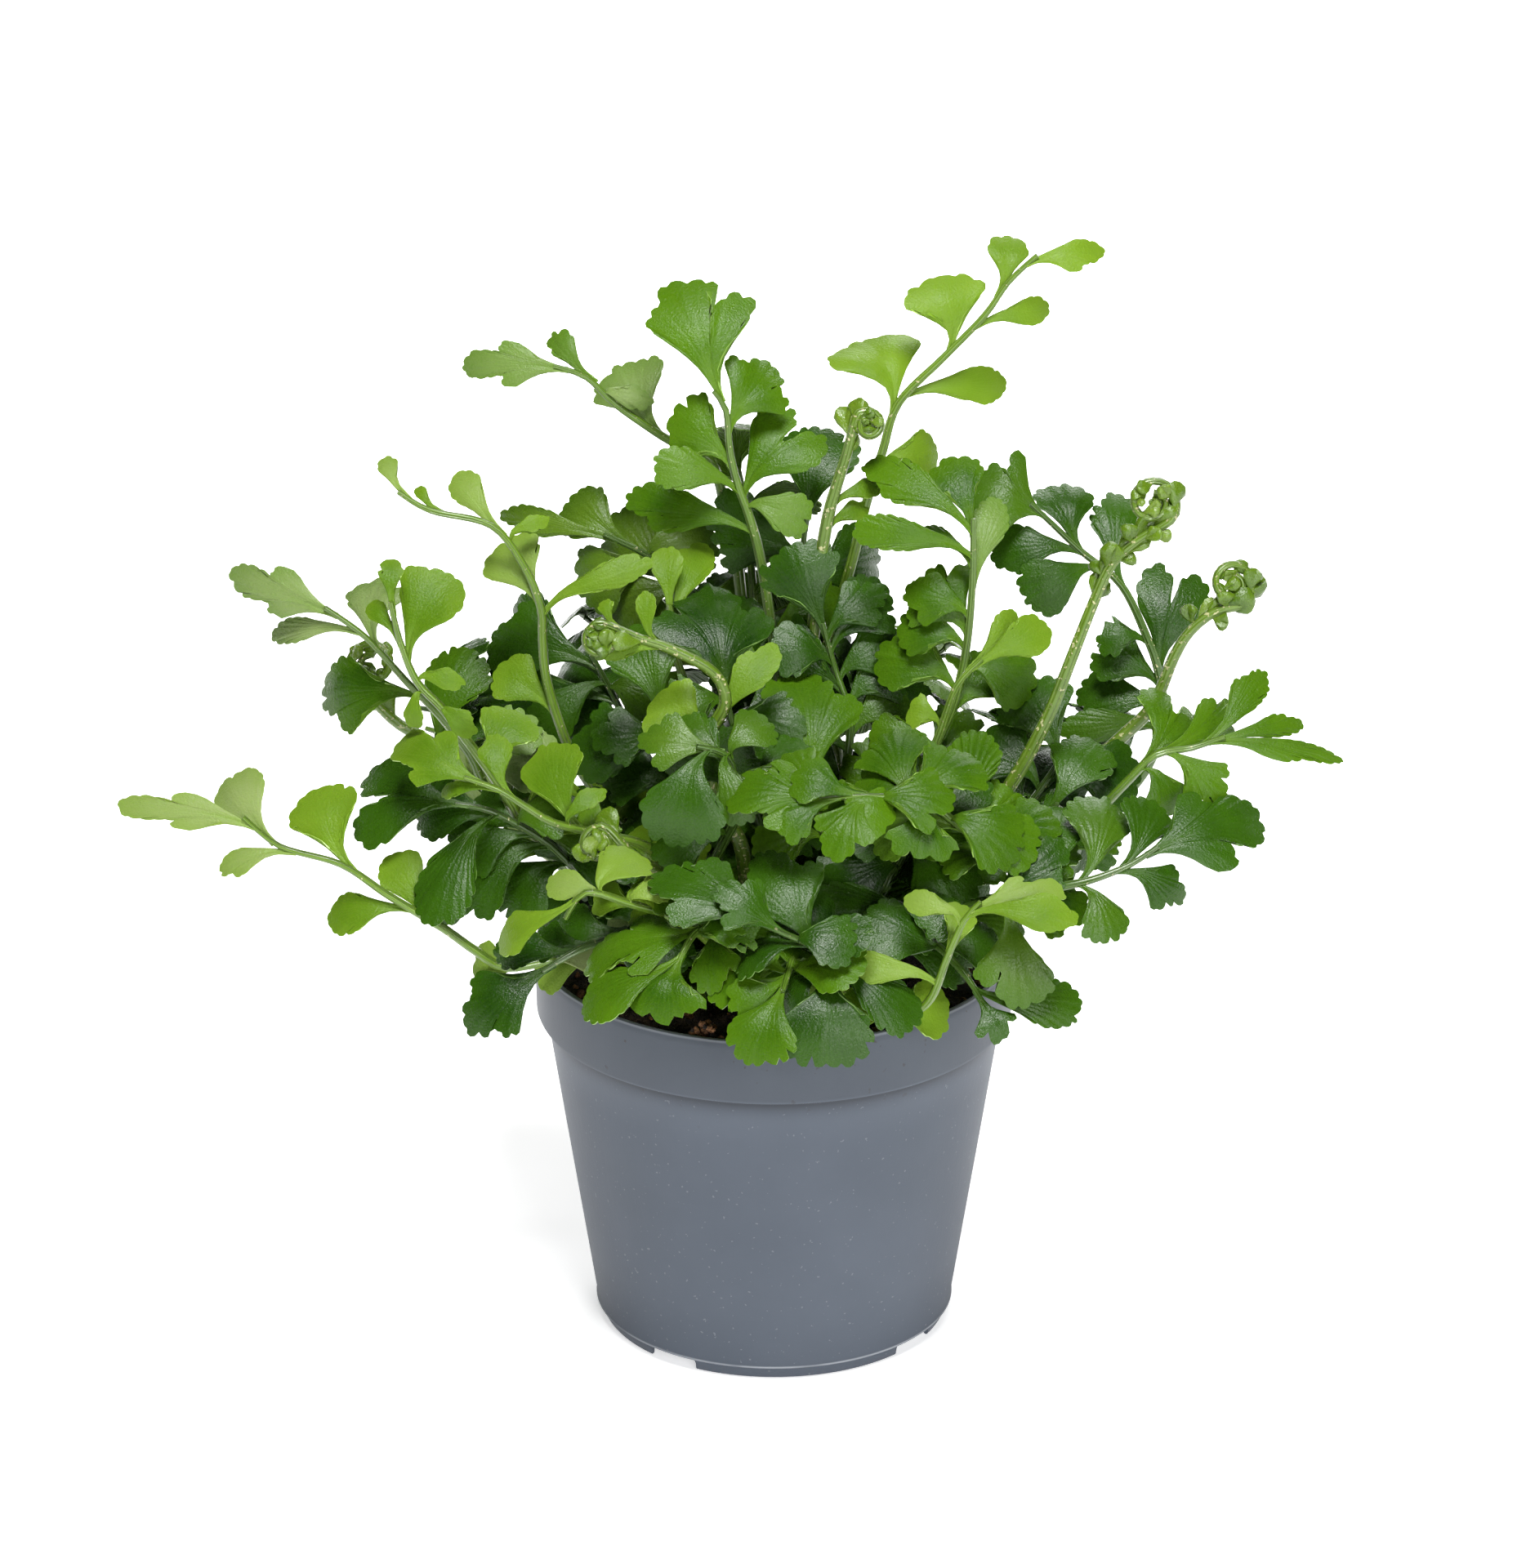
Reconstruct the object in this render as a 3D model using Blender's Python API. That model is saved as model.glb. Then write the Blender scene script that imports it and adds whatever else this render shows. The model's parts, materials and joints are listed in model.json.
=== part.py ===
"""Potted asplenium: a plastic nursery pot, its soil and a crown of fern fronds, each its own object.

Sizes are in millimetres and become metres where a mesh is made. The pot's axis is +Z through the origin,
the pot stands on Z = 0 and -Y is the front.
"""
import itertools
import math
import random

import bmesh
import bpy
from mathutils import Euler, Vector
from mathutils.bvhtree import BVHTree

MM = 0.001

# Driving sizes of the pot
RIM_RADIUS = 60.5
POT_HEIGHT = 101.0
RIM_BAND = 17.5
RIM_STEP = 2.8
WALL = 1.2
BODY_FOOT_RADIUS = 45.2
FOOT_HEIGHT = 3.5
FOOT_INSET = 1.4
FLOOR = 1.6
MOULD_LINE = 0.4
PAD_RADIUS = 6.0
POT_SIDES = 36
RIM_WALL = 1.6
RIM_CORNER = (0.9, 0.7)
NOTCH_WIDTH = 14.0
NOTCH_HEIGHT = 3.0
NOTCH_REACH = (36.0, 50.0)
FIRST_NOTCH = -126.0
NOTCH_FACES = ((3, 2, 1, 0), (4, 5, 6, 7), (0, 1, 5, 4), (1, 2, 6, 5), (2, 3, 7, 6), (3, 0, 4, 7))
DRAIN_RADIUS = 5.0
DRAIN_PLACE = 31.0
DRAIN_SIDES = 8

# Soil
SOIL_LEVEL = 92.6
SOIL_MOUND = 2.6
SOIL_RINGS = (16.0, 32.0, 47.0)
SOIL_SIDES = 18
SOIL_LUMP = 0.55
SEAT_GAP = 0.35

# Crown, where the stems stand in holes of the soil
CROWN_STEP = 4.3
GOLDEN_ANGLE = math.radians(137.5)
CROWN_RADIUS = 32.0
STEM_SINK = 82.0
STEM_FREE = 98.5
STEM_RADIUS = 1.6
TIP_RADIUS = 0.65
CROSIER_TIP = 0.9
STEM_SIDES = 3
HOLE_SIDES = 5
KNEE_PLACE = 0.5
KNEE_BACK = 0.12

# Leaves
LEAF_THICKNESS = 0.8
STALK_LENGTH = 2.3
STALK_WIDTH = 1.5
LEAF_SINK = 0.07
LEAF_ROLL = 0.22
PLEAT_DEPTH = 0.045
PLEAT_COUNT = 5.5
DROOP_LEAST, DROOP_MOST = -0.02, -0.22
OWN_TWIST = 14.0
OWN_PITCH = 12.0
CLEARANCE = 0.35
LONG_SPAN = 17.0
CURL_STEP = math.radians(38)
CURL_STEPS = 13
CURL_CLOSING = 0.62

# A leaf's edge as (across, along) in shares of its width and length, from the left end of its stalk round to
# the right one
FAN = ((-0.5, 0.54), (-0.38, 0.88), (-0.2, 0.85), (-0.02, 1.0), (0.16, 0.87), (0.36, 0.9), (0.5, 0.56))
SLIT = ((-0.44, 0.42), (-0.5, 0.76), (-0.26, 0.97), (-0.08, 0.88), (-0.01, 0.52), (0.1, 0.92), (0.34, 0.96),
        (0.5, 0.7), (0.38, 0.36))
WING = ((-0.34, 0.45), (-0.28, 0.82), (-0.08, 1.0), (0.1, 0.88), (0.32, 0.86), (0.44, 0.62), (0.72, 0.46),
        (0.6, 0.2))
SPOON = ((-0.46, 0.52), (-0.44, 0.84), (-0.12, 1.0), (0.24, 0.95), (0.5, 0.7), (0.36, 0.36))
LOBED = ((-0.46, 0.22), (-0.5, 0.46), (-0.28, 0.54), (-0.26, 0.84), (-0.08, 1.0), (0.08, 0.92), (0.26, 0.9),
         (0.22, 0.56), (0.44, 0.56), (0.46, 0.28))
HAND = ((-0.5, 0.34), (-0.44, 0.6), (-0.24, 0.58), (-0.28, 0.92), (-0.1, 0.98), (-0.02, 0.7), (0.08, 1.0),
        (0.28, 0.9), (0.24, 0.62), (0.46, 0.7), (0.5, 0.42))
BEAD = "bead"

# By age: a leaf's colour, linear, its roughness, and how much longer and wider than its table size it grew
TONES = {
    "young": ((0.235, 0.37, 0.045), 0.42, 1.0, 1.16),
    "fresh": ((0.12, 0.235, 0.035), 0.38, 1.05, 1.26),
    "mature": ((0.04, 0.1, 0.018), 0.32, 1.12, 1.4),
}

# Each frond: name, tone, the way it faces (turn about Z, lean up), the points of its stem, and its leaves as
# (place along the stem's points, outline, bearing clockwise from up, length, width)
FRONDS = (
    ("far_left", "young", -15, 38,
     ((-50, -38, 114), (-66, -42, 113), (-81, -42, 123), (-96, -42, 133), (-107, -40, 140), (-122, -38, 144),
      (-131, -36, 151)),
     ((7.0, LOBED, -90, 42, 20), (5.0, FAN, -30, 22, 21), (6.4, FAN, -40, 19, 14), (6.0, SPOON, -115, 17, 7),
      (3.8, FAN, -105, 20, 10), (3.3, FAN, -40, 21, 11))),
    ("left_middle", "fresh", -20, 30,
     ((-53, -5, 124), (-69, -8, 141), (-76, -10, 157), (-83, -12, 168), (-91, -12, 177), (-101, -12, 189),
      (-111, -12, 197)),
     ((7.0, LOBED, -80, 29, 17), (6.0, FAN, -10, 17, 15), (6.4, SPOON, -100, 23, 6), (4.9, FAN, -100, 22, 20),
      (3.0, FAN, 50, 18, 12))),
    ("bright_left", "young", -15, 35,
     ((-61, -22, 141), (-70, -25, 158), (-82, -28, 177), (-88, -28, 184), (-92, -28, 195), (-94, -28, 205)),
     ((6.0, SPOON, -10, 11, 6), (4.8, FAN, 20, 22, 17), (5.2, SPOON, -50, 11, 5), (4.3, SPOON, 95, 13, 5),
      (4.0, SPOON, -175, 11, 5), (3.3, SPOON, 125, 12, 6), (2.2, FAN, 20, 16, 15))),
    ("left_low", "young", -10, 40,
     ((-30, -32, 140), (-42, -38, 147), (-54, -42, 152), (-68, -44, 162), (-76, -44, 165)),
     ((5.0, LOBED, -60, 24, 15), (4.0, SPOON, -15, 15, 8), (2.7, FAN, -25, 23, 15), (4.3, SPOON, -95, 13, 4),
      (3.0, SPOON, 45, 14, 5))),
    ("upper_left", "young", -10, 28,
     ((-38, 0, 133), (-50, 0, 151), (-57, 0, 174), (-58, 0, 192), (-62, 0, 203), (-70, 0, 214), (-85, 0, 218),
      (-93, 0, 223)),
     ((8.0, SPOON, -30, 11, 5), (6.0, SPOON, -40, 18, 8), (5.8, SPOON, 65, 12, 4), (4.3, FAN, -35, 17, 15),
      (4.2, SPOON, 65, 29, 7), (7.0, SPOON, -40, 8, 3), (2.7, FAN, -60, 17, 12))),
    ("top_left", "fresh", -8, 30,
     ((-9, 30, 190), (-16, 34, 218), (-26, 35, 223), (-32, 35, 227), (-40, 35, 233), (-47, 35, 240),
      (-55, 35, 243)),
     ((7.0, LOBED, -90, 24, 13), (6.1, SPOON, -40, 14, 6), (3.8, FAN, -30, 19, 17), (5.7, SPOON, 105, 14, 5),
      (2.4, FAN, -125, 12, 8))),
    ("top_middle", "fresh", 0, 30,
     ((3, 10, 154), (-3, 12, 198), (-6, 12, 211), (-9, 12, 220), (-11, 12, 229), (-12, 12, 240),
      (-15, 12, 245)),
     ((7.0, HAND, -10, 27, 26), (5.8, FAN, 40, 19, 16), (4.9, FAN, -55, 18, 16), (4.2, SPOON, -80, 21, 10),
      (3.7, FAN, 110, 18, 10), (3.0, SPOON, -80, 32, 10), (4.0, SLIT, 45, 24, 17))),
    ("top_right", "young", 10, 32,
     ((13, 20, 172), (20, 24, 197), (23, 25, 210), (27, 25, 224), (31, 25, 237), (42, 25, 249), (52, 25, 260),
      (58, 25, 269), (65, 25, 276)),
     ((9.0, WING, 85, 18, 12), (5.1, FAN, -15, 20, 23), (6.4, FAN, -10, 17, 19), (7.9, FAN, 10, 13, 10),
      (5.4, SPOON, 90, 26, 9), (7.0, SPOON, 85, 18, 7), (4.0, FAN, 90, 16, 10))),
    ("right_light", "fresh", 5, 30,
     ((34, -8, 144), (44, -8, 168), (48, -8, 188), (49, -8, 206), (49, -8, 219)),
     ((5.0, SPOON, -55, 31, 10), (4.9, FAN, -15, 19, 12), (3.9, SPOON, 20, 21, 8), (4.3, SPOON, -50, 15, 4),
      (3.2, FAN, -40, 17, 17), (4.5, SPOON, -80, 29, 8))),
    ("right_arch", "mature", 12, 30,
     ((80, 14, 125), (94, 18, 141), (98, 20, 158), (94, 20, 175), (87, 20, 190), (77, 20, 199), (70, 20, 206),
      (64, 20, 212)),
     ((7.8, LOBED, -65, 15, 20), (6.4, FAN, 0, 15, 13), (5.3, SPOON, 10, 21, 10), (5.8, FAN, -115, 18, 12),
      (4.2, FAN, -90, 11, 8), (3.7, SLIT, 20, 23, 15), (3.1, FAN, -75, 20, 12), (2.8, SPOON, -90, 23, 7))),
    ("big_crosier", "young", 5, 25,
     ((44, -20, 131), (53, -24, 146), (61, -24, 159), (68, -24, 174), (74, -24, 191), (79, -22, 204),
      (83, -22, 213), (89, -22, 219), (97, -22, 224)),
     ((6.0, BEAD, 60, 6, 4), (6.6, BEAD, -50, 5, 4), (7.2, BEAD, 100, 5, 4), (7.9, BEAD, -40, 6, 4),
      (8.5, BEAD, 130, 5, 3)), 6.2, 1),
    ("right_crosier", "young", 15, 25,
     ((61, -8, 132), (75, -10, 150), (86, -10, 161), (94, -10, 170), (99, -10, 183), (103, -10, 190),
      (109, -10, 195), (116, -10, 197)),
     ((6.3, BEAD, -45, 6, 4), (6.9, BEAD, 140, 5, 4), (7.5, BEAD, -30, 5, 4)), 5.8, 1),
    ("right_low", "mature", 15, 45,
     ((52, -50, 134), (70, -56, 141), (78, -56, 143), (87, -54, 146), (94, -52, 150)),
     ((5.0, LOBED, 75, 29, 18), (2.0, FAN, 5, 24, 20), (3.0, FAN, 20, 22, 13), (4.1, FAN, 30, 18, 11),
      (4.1, FAN, 125, 16, 9), (3.0, FAN, 170, 15, 10))),
    ("right_edge", "fresh", 18, 40,
     ((68, -30, 138), (81, -32, 152), (94, -32, 166), (103, -30, 167), (111, -30, 170)),
     ((5.0, WING, 105, 32, 9), (4.7, SPOON, 45, 30, 9), (3.0, SLIT, 40, 21, 17), (3.5, FAN, 65, 29, 10),
      (4.9, SPOON, 85, 23, 5), (3.0, FAN, 160, 14, 10))),
    ("middle_crosier", "young", -5, 28,
     ((-8, -26, 138), (-16, -30, 158), (-16, -32, 171), (-12, -32, 180), (-15, -32, 188), (-25, -32, 194),
      (-33, -32, 197), (-42, -32, 201)),
     ((6.8, SPOON, -5, 12, 5), (7.8, SPOON, -20, 7, 4), (6.5, SPOON, -100, 15, 5), (3.0, FAN, -55, 17, 16),
      (3.6, SPOON, 35, 22, 9)), 4.2, 1),
    ("middle_gloss", "mature", 0, 35,
     ((-3, -16, 138), (-9, -16, 161), (-13, -16, 180)),
     ((3.0, HAND, -5, 27, 24), (2.3, FAN, 55, 17, 10))),
    ("middle_pair", "mature", 0, 32,
     ((13, -6, 127), (17, -6, 147), (19, -4, 163), (15, 0, 176), (12, 0, 188)),
     ((3.0, FAN, 30, 27, 20), (5.0, FAN, -20, 20, 16), (4.9, FAN, 55, 17, 10), (4.5, FAN, -80, 13, 9))),
    ("middle_fan", "fresh", 0, 35,
     ((13, -26, 136), (9, -28, 158)),
     ((2.0, FAN, 0, 29, 21), (1.5, FAN, 50, 16, 10))),
    ("middle_low", "fresh", -5, 50,
     ((57, -42, 132), (57, -50, 147), (47, -54, 155), (37, -57, 164), (23, -60, 167), (11, -60, 166)),
     ((6.0, LOBED, -85, 23, 17), (6.0, FAN, -40, 19, 13), (6.0, FAN, -130, 14, 9), (4.4, FAN, -20, 23, 16),
      (5.2, FAN, -160, 17, 13), (4.1, FAN, 180, 14, 15))),
    ("ridged", "fresh", 5, 35,
     ((38, -34, 131), (44, -38, 144), (47, -40, 152)),
     ((3.0, SPOON, 10, 24, 12), (2.3, FAN, -10, 27, 12), (1.7, SPOON, -10, 38, 8), (2.0, SPOON, 60, 20, 7))),
    ("light_fan", "young", 5, 30,
     ((34, -20, 147), (41, -24, 169), (45, -26, 182), (51, -26, 189)),
     ((4.0, FAN, 65, 22, 13), (3.8, SPOON, 40, 24, 7), (2.3, FAN, -70, 9, 8))),
    ("right_fan", "mature", 10, 38,
     ((57, -24, 136), (70, -30, 152)),
     ((2.0, FAN, 35, 27, 17), (1.7, SPOON, 25, 22, 6))),
    ("low_left_twist", "young", -15, 50,
     ((-23, -58, 133), (-35, -64, 140), (-46, -66, 144), (-51, -66, 137)),
     ((3.0, FAN, 30, 18, 13), (2.6, FAN, -80, 16, 8), (3.7, FAN, -110, 22, 10), (2.3, FAN, 60, 13, 8))),
    ("front_right", "young", 5, 45,
     ((23, -62, 111), (32, -70, 113), (38, -74, 119), (42, -76, 131), (46, -76, 141), (50, -76, 146)),
     ((6.0, LOBED, 80, 24, 10), (5.3, FAN, -70, 16, 6), (5.7, FAN, 100, 29, 9), (4.1, SPOON, 20, 15, 8),
      (3.7, FAN, -80, 27, 8))),
    ("front_gloss", "mature", 10, 50,
     ((41, -50, 131), (54, -60, 139), (58, -64, 138)),
     ((3.0, FAN, -175, 25, 19), (1.0, FAN, -85, 30, 12), (2.2, FAN, 55, 20, 13))),
    ("front_fork", "mature", 15, 50,
     ((35, -56, 127), (45, -66, 124), (51, -72, 117)),
     ((3.0, FAN, 165, 10, 8), (3.0, FAN, 100, 23, 10))),
    ("front_left", "fresh", -15, 55,
     ((-7, -50, 129), (-15, -64, 134), (-20, -72, 135), (-24, -78, 129)),
     ((3.0, LOBED, -100, 31, 19), (4.0, FAN, -120, 29, 10), (4.0, FAN, -175, 16, 12))),
    ("front_middle", "fresh", 0, 58,
     ((7, -50, 129), (4, -68, 126), (2, -80, 124)),
     ((2.6, FAN, -35, 27, 13), (2.7, FAN, -95, 18, 9), (3.0, FAN, -155, 19, 16), (2.3, FAN, 10, 15, 18))),
    ("front_light", "mature", 5, 55,
     ((13, -50, 129), (14, -66, 128), (13, -76, 127)),
     ((3.0, FAN, -175, 24, 20), (2.4, FAN, 130, 24, 11))),
    ("front_low_left", "mature", -20, 50,
     ((-34, -46, 125), (-48, -58, 125), (-57, -62, 121)),
     ((3.0, FAN, -135, 22, 14), (2.3, FAN, -90, 19, 9))),
    ("left_dark", "mature", -20, 40,
     ((-46, -22, 127), (-58, -26, 141), (-70, -28, 149), (-79, -28, 151)),
     ((4.0, SLIT, -95, 25, 19), (3.2, FAN, -170, 30, 13), (2.1, FAN, -135, 30, 15),
      (2.4, FAN, -120, 18, 12))),
    ("left_back", "mature", -15, 32,
     ((-30, 14, 134), (-38, 16, 156), (-46, 18, 172)),
     ((3.0, FAN, -85, 27, 17), (2.4, FAN, -95, 38, 12), (2.7, FAN, -140, 22, 10))),
    ("left_crosier", "fresh", -10, 25,
     ((-63, 8, 130), (-80, 10, 147), (-96, 10, 158), (-106, 10, 170)),
     ((3.8, BEAD, 60, 5, 4),), 5.8, -1),
    ("back_left", "mature", -5, 32,
     ((-14, 34, 143), (-17, 38, 171), (-30, 42, 188), (-43, 42, 195)),
     ((4.0, SPOON, -80, 28, 6), (2.6, FAN, -50, 25, 14), (2.1, FAN, 30, 18, 10))),
    ("young_pair", "young", 0, 30,
     ((-16, 0, 154), (-25, 0, 181), (-26, 0, 193)),
     ((3.0, SPOON, -5, 15, 8), (2.7, SPOON, 25, 25, 9))),
    ("middle_down", "mature", -5, 45,
     ((-8, -40, 156), (-12, -46, 172), (-19, -48, 175)),
     ((3.0, FAN, -170, 22, 17), (2.4, FAN, 155, 18, 9))),
    ("low_gloss", "mature", 0, 50,
     ((13, -46, 123), (8, -58, 134), (-3, -60, 140)),
     ((3.0, FAN, -60, 29, 17), (2.0, FAN, -25, 25, 17))),
    ("low_crosier", "young", -8, 35,
     ((-21, -44, 135), (-35, -48, 146), (-41, -48, 153)),
     ((2.5, BEAD, -60, 5, 3),), 4.2, 1),
    ("tiny_crosier", "young", 0, 25,
     ((9, 4, 174), (11, 4, 199), (14, 4, 218), (18, 4, 232), (20, 4, 241)),
     ((4.4, SPOON, 35, 9, 4), (3.2, SPOON, 70, 13, 5), (2.8, SPOON, 65, 11, 5)), 3.6, -1),
    ("centre_left", "mature", -8, 35,
     ((-16, -22, 128), (-24, -26, 150), (-28, -26, 172)),
     ((3.0, FAN, -20, 23, 16), (2.6, FAN, -95, 22, 15), (2.2, FAN, 70, 21, 15), (1.6, FAN, -110, 20, 14))),
    ("centre_right", "mature", 5, 40,
     ((26, -30, 128), (32, -38, 142), (34, -42, 150)),
     ((3.0, FAN, 60, 21, 16), (2.5, FAN, 150, 20, 15), (2.0, FAN, -110, 20, 14), (1.5, FAN, 100, 20, 14))),
    ("centre_back", "mature", 0, 32,
     ((4, 14, 150), (6, 20, 185), (8, 22, 208)),
     ((3.0, FAN, 10, 23, 17), (2.6, FAN, -75, 23, 16), (2.3, FAN, 75, 23, 16), (1.8, FAN, -100, 22, 15),
      (1.6, FAN, 95, 22, 15))),
    ("left_fill", "mature", -15, 42,
     ((-34, -30, 122), (-44, -40, 132)),
     ((2.0, FAN, -30, 21, 16), (1.6, FAN, -110, 21, 15), (1.8, FAN, 80, 20, 15))),
    ("right_fill", "mature", 12, 38,
     ((52, -14, 128), (64, -18, 146), (72, -20, 160)),
     ((3.0, FAN, -20, 21, 16), (2.2, FAN, -95, 20, 15), (1.8, FAN, 120, 20, 14))),
)

# The far side of the crown, as (the way a frond leans out, how far, how high, tone), with leaves in turn on
# both sides
REAR_FRONDS = (
    (180, 74, 176, "mature"), (150, 92, 150, "fresh"), (212, 96, 158, "mature"), (128, 104, 128, "mature"),
    (236, 108, 134, "fresh"), (190, 56, 212, "fresh"), (104, 98, 150, "mature"), (258, 92, 152, "mature"),
)
REAR_LEAVES = ((1.8, 78, 19), (2.3, -78, 20), (2.8, 72, 20), (3.2, -68, 19), (3.6, 60, 15))
REAR_TIP = 24
REAR_WIDTH = 0.8
REAR_ARCH = ((0.32, 0.42), (0.52, 0.72), (0.74, 0.93), (1.0, 1.0))
REAR_LEAN, TALL_LEAN, TALL = 62, 40, 190

# What a stem or a leaf tries in turn until it is clear of every other frond
PLACES_TRIED = 12
KNEE_SHIFTS = ((0, 0), (5, 0), (-5, 0), (0, 6), (0, -6), (10, 0), (-10, 0), (6, 8), (-6, 8), (15, 0),
               (-15, 0))
DEPTH_SHIFTS = (0, 3, -3, 6, -6, 9, -9, 12, -12, 16, -16)
LEAF_TRIES = ((0, 0, 1.0), (18, 0, 1.0), (-18, 0, 1.0), (0, 18, 1.0), (0, -18, 1.0), (30, 15, 1.0),
              (-30, 15, 1.0), (30, -15, 1.0), (-30, -15, 1.0), (0, 34, 1.0), (0, -34, 1.0), (50, 0, 1.0),
              (-50, 0, 1.0), (0, 0, 0.84), (20, 15, 0.84), (-20, -15, 0.84), (30, -20, 0.84), (-30, 20, 0.84),
              (0, 40, 0.84), (0, -40, 0.84), (0, 0, 0.66), (30, 20, 0.66), (-30, -20, 0.66), (0, 50, 0.66))


def clear_scene():
    for thing in list(bpy.data.objects):
        bpy.data.objects.remove(thing, do_unlink=True)


def material(name, colour, roughness):
    made = bpy.data.materials.new(name)
    made.use_nodes = True
    shader = made.node_tree.nodes["Principled BSDF"]
    shader.inputs["Base Color"].default_value = (*colour, 1.0)
    shader.inputs["Roughness"].default_value = roughness
    shader.inputs["Metallic"].default_value = 0.0
    return made


def add_object(name, points, faces, home=None):
    mesh = bpy.data.meshes.new(name)
    mesh.from_pydata([Vector(p) * MM for p in points], [], faces)
    mesh.update()
    thing = bpy.data.objects.new(name, mesh)
    (home or bpy.context.scene.collection).objects.link(thing)
    return thing


def boolean(thing, operation, others):
    """Cuts or joins a collection of solids with one modifier, applies it and removes the solids."""
    modifier = thing.modifiers.new(operation.lower(), "BOOLEAN")
    modifier.operation = operation
    modifier.solver = "EXACT"
    modifier.operand_type = "COLLECTION"
    modifier.collection = others
    bpy.context.view_layer.objects.active = thing
    bpy.ops.object.modifier_apply(modifier=modifier.name)
    for other in list(others.objects):
        bpy.data.objects.remove(other, do_unlink=True)
    bpy.data.collections.remove(others)


def new_collection(name):
    made = bpy.data.collections.new(name)
    bpy.context.scene.collection.children.link(made)
    return made


def turned(profile, sides):
    """Points and faces of a profile of (radius, height) turned about Z, whose ends lie on the axis."""
    frame = bmesh.new()
    corners = [frame.verts.new((radius, 0.0, height)) for radius, height in profile]
    lines = [frame.edges.new(pair) for pair in zip(corners, corners[1:])]
    bmesh.ops.spin(frame, geom=corners + lines, axis=(0, 0, 1), cent=(0, 0, 0), steps=sides,
                   angle=2 * math.pi, use_merge=True)
    bmesh.ops.remove_doubles(frame, verts=frame.verts, dist=0.001)
    bmesh.ops.recalc_face_normals(frame, faces=frame.faces)
    frame.verts.index_update()
    points = [tuple(v.co) for v in frame.verts]
    faces = [tuple(v.index for v in f.verts) for f in frame.faces]
    frame.free()
    return points, faces


def prism(x, y, low, high, radius, sides):
    """Points and faces of an upright prism."""
    ring = [(x + radius * math.cos(a), y + radius * math.sin(a))
            for a in (2 * math.pi * k / sides for k in range(sides))]
    points = [(px, py, low) for px, py in ring] + [(px, py, high) for px, py in ring]
    faces = [(k, (k + 1) % sides, sides + (k + 1) % sides, sides + k) for k in range(sides)]
    return points, faces + [tuple(reversed(range(sides))), tuple(range(sides, 2 * sides))]


def wall_radius(height):
    """The pot body's outer radius below the rim band, on its straight slope."""
    share = (height - FOOT_HEIGHT) / (POT_HEIGHT - RIM_BAND - FOOT_HEIGHT)
    return BODY_FOOT_RADIUS + (RIM_RADIUS - RIM_STEP - BODY_FOOT_RADIUS) * share


def inner_radius(height):
    """The radius inside the pot, which follows the step of the rim."""
    if height > POT_HEIGHT - RIM_BAND + WALL:
        return RIM_RADIUS - RIM_WALL
    return wall_radius(height) - WALL


def pot_profile():
    band_low = POT_HEIGHT - RIM_BAND
    floor_top = FOOT_HEIGHT + FLOOR
    foot = BODY_FOOT_RADIUS - FOOT_INSET
    mould_top = FOOT_HEIGHT + WALL
    corner, corner_height = RIM_CORNER
    return [
        (0, 0), (PAD_RADIUS, 0), (PAD_RADIUS, FOOT_HEIGHT), (foot - WALL, FOOT_HEIGHT), (foot - WALL, 0),
        (foot, 0), (foot + 0.5, FOOT_HEIGHT - 0.5), (BODY_FOOT_RADIUS + MOULD_LINE, FOOT_HEIGHT),
        (wall_radius(mould_top), mould_top), (wall_radius(band_low), band_low),
        (RIM_RADIUS - corner, band_low), (RIM_RADIUS - corner / 3, band_low + corner_height),
        (RIM_RADIUS, POT_HEIGHT), (RIM_RADIUS - RIM_WALL, POT_HEIGHT),
        (RIM_RADIUS - RIM_WALL, band_low + WALL + 0.1), (wall_radius(band_low) - WALL, band_low - 0.4),
        (wall_radius(floor_top) - WALL, floor_top), (0, floor_top),
    ]


def build_pot():
    """The pot, with the notches of its foot ring and a drain hole behind each notch."""
    pot = add_object("pot", *turned(pot_profile(), POT_SIDES))
    cutters = new_collection("pot_cutters")
    inside, outside = NOTCH_REACH
    for quarter in range(4):
        angle = math.radians(FIRST_NOTCH + 90 * quarter)
        out = Vector((math.cos(angle), math.sin(angle), 0))
        across = Vector((-out.y, out.x, 0))
        ends = ((inside, -1), (outside, -1), (outside, 1), (inside, 1))
        corners = [out * along + across * side * NOTCH_WIDTH / 2 + Vector((0, 0, height))
                   for height in (-1.0, NOTCH_HEIGHT) for along, side in ends]
        add_object("notch", corners, NOTCH_FACES, cutters)
        middle = out * DRAIN_PLACE
        add_object("drain", *prism(middle.x, middle.y, FOOT_HEIGHT - 1, FOOT_HEIGHT + FLOOR + 1,
                                   DRAIN_RADIUS, DRAIN_SIDES), cutters)
    boolean(pot, "DIFFERENCE", cutters)
    pot.data.materials.append(material("pot_plastic", (0.135, 0.155, 0.19), 0.42))
    pot.data.shade_smooth()
    pot.data.set_sharp_from_angle(angle=math.radians(28))
    return pot


def soil_height(x, y):
    """The soil's top, a low mound with soft lumps."""
    reach = math.hypot(x, y) / RIM_RADIUS
    lumps = math.sin(x * 0.17 + 1.3) * math.cos(y * 0.19 - 0.6) + 0.6 * math.sin(x * 0.41 - y * 0.33)
    return SOIL_LEVEL + SOIL_MOUND * (1 - reach * reach) + SOIL_LUMP * lumps


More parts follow.
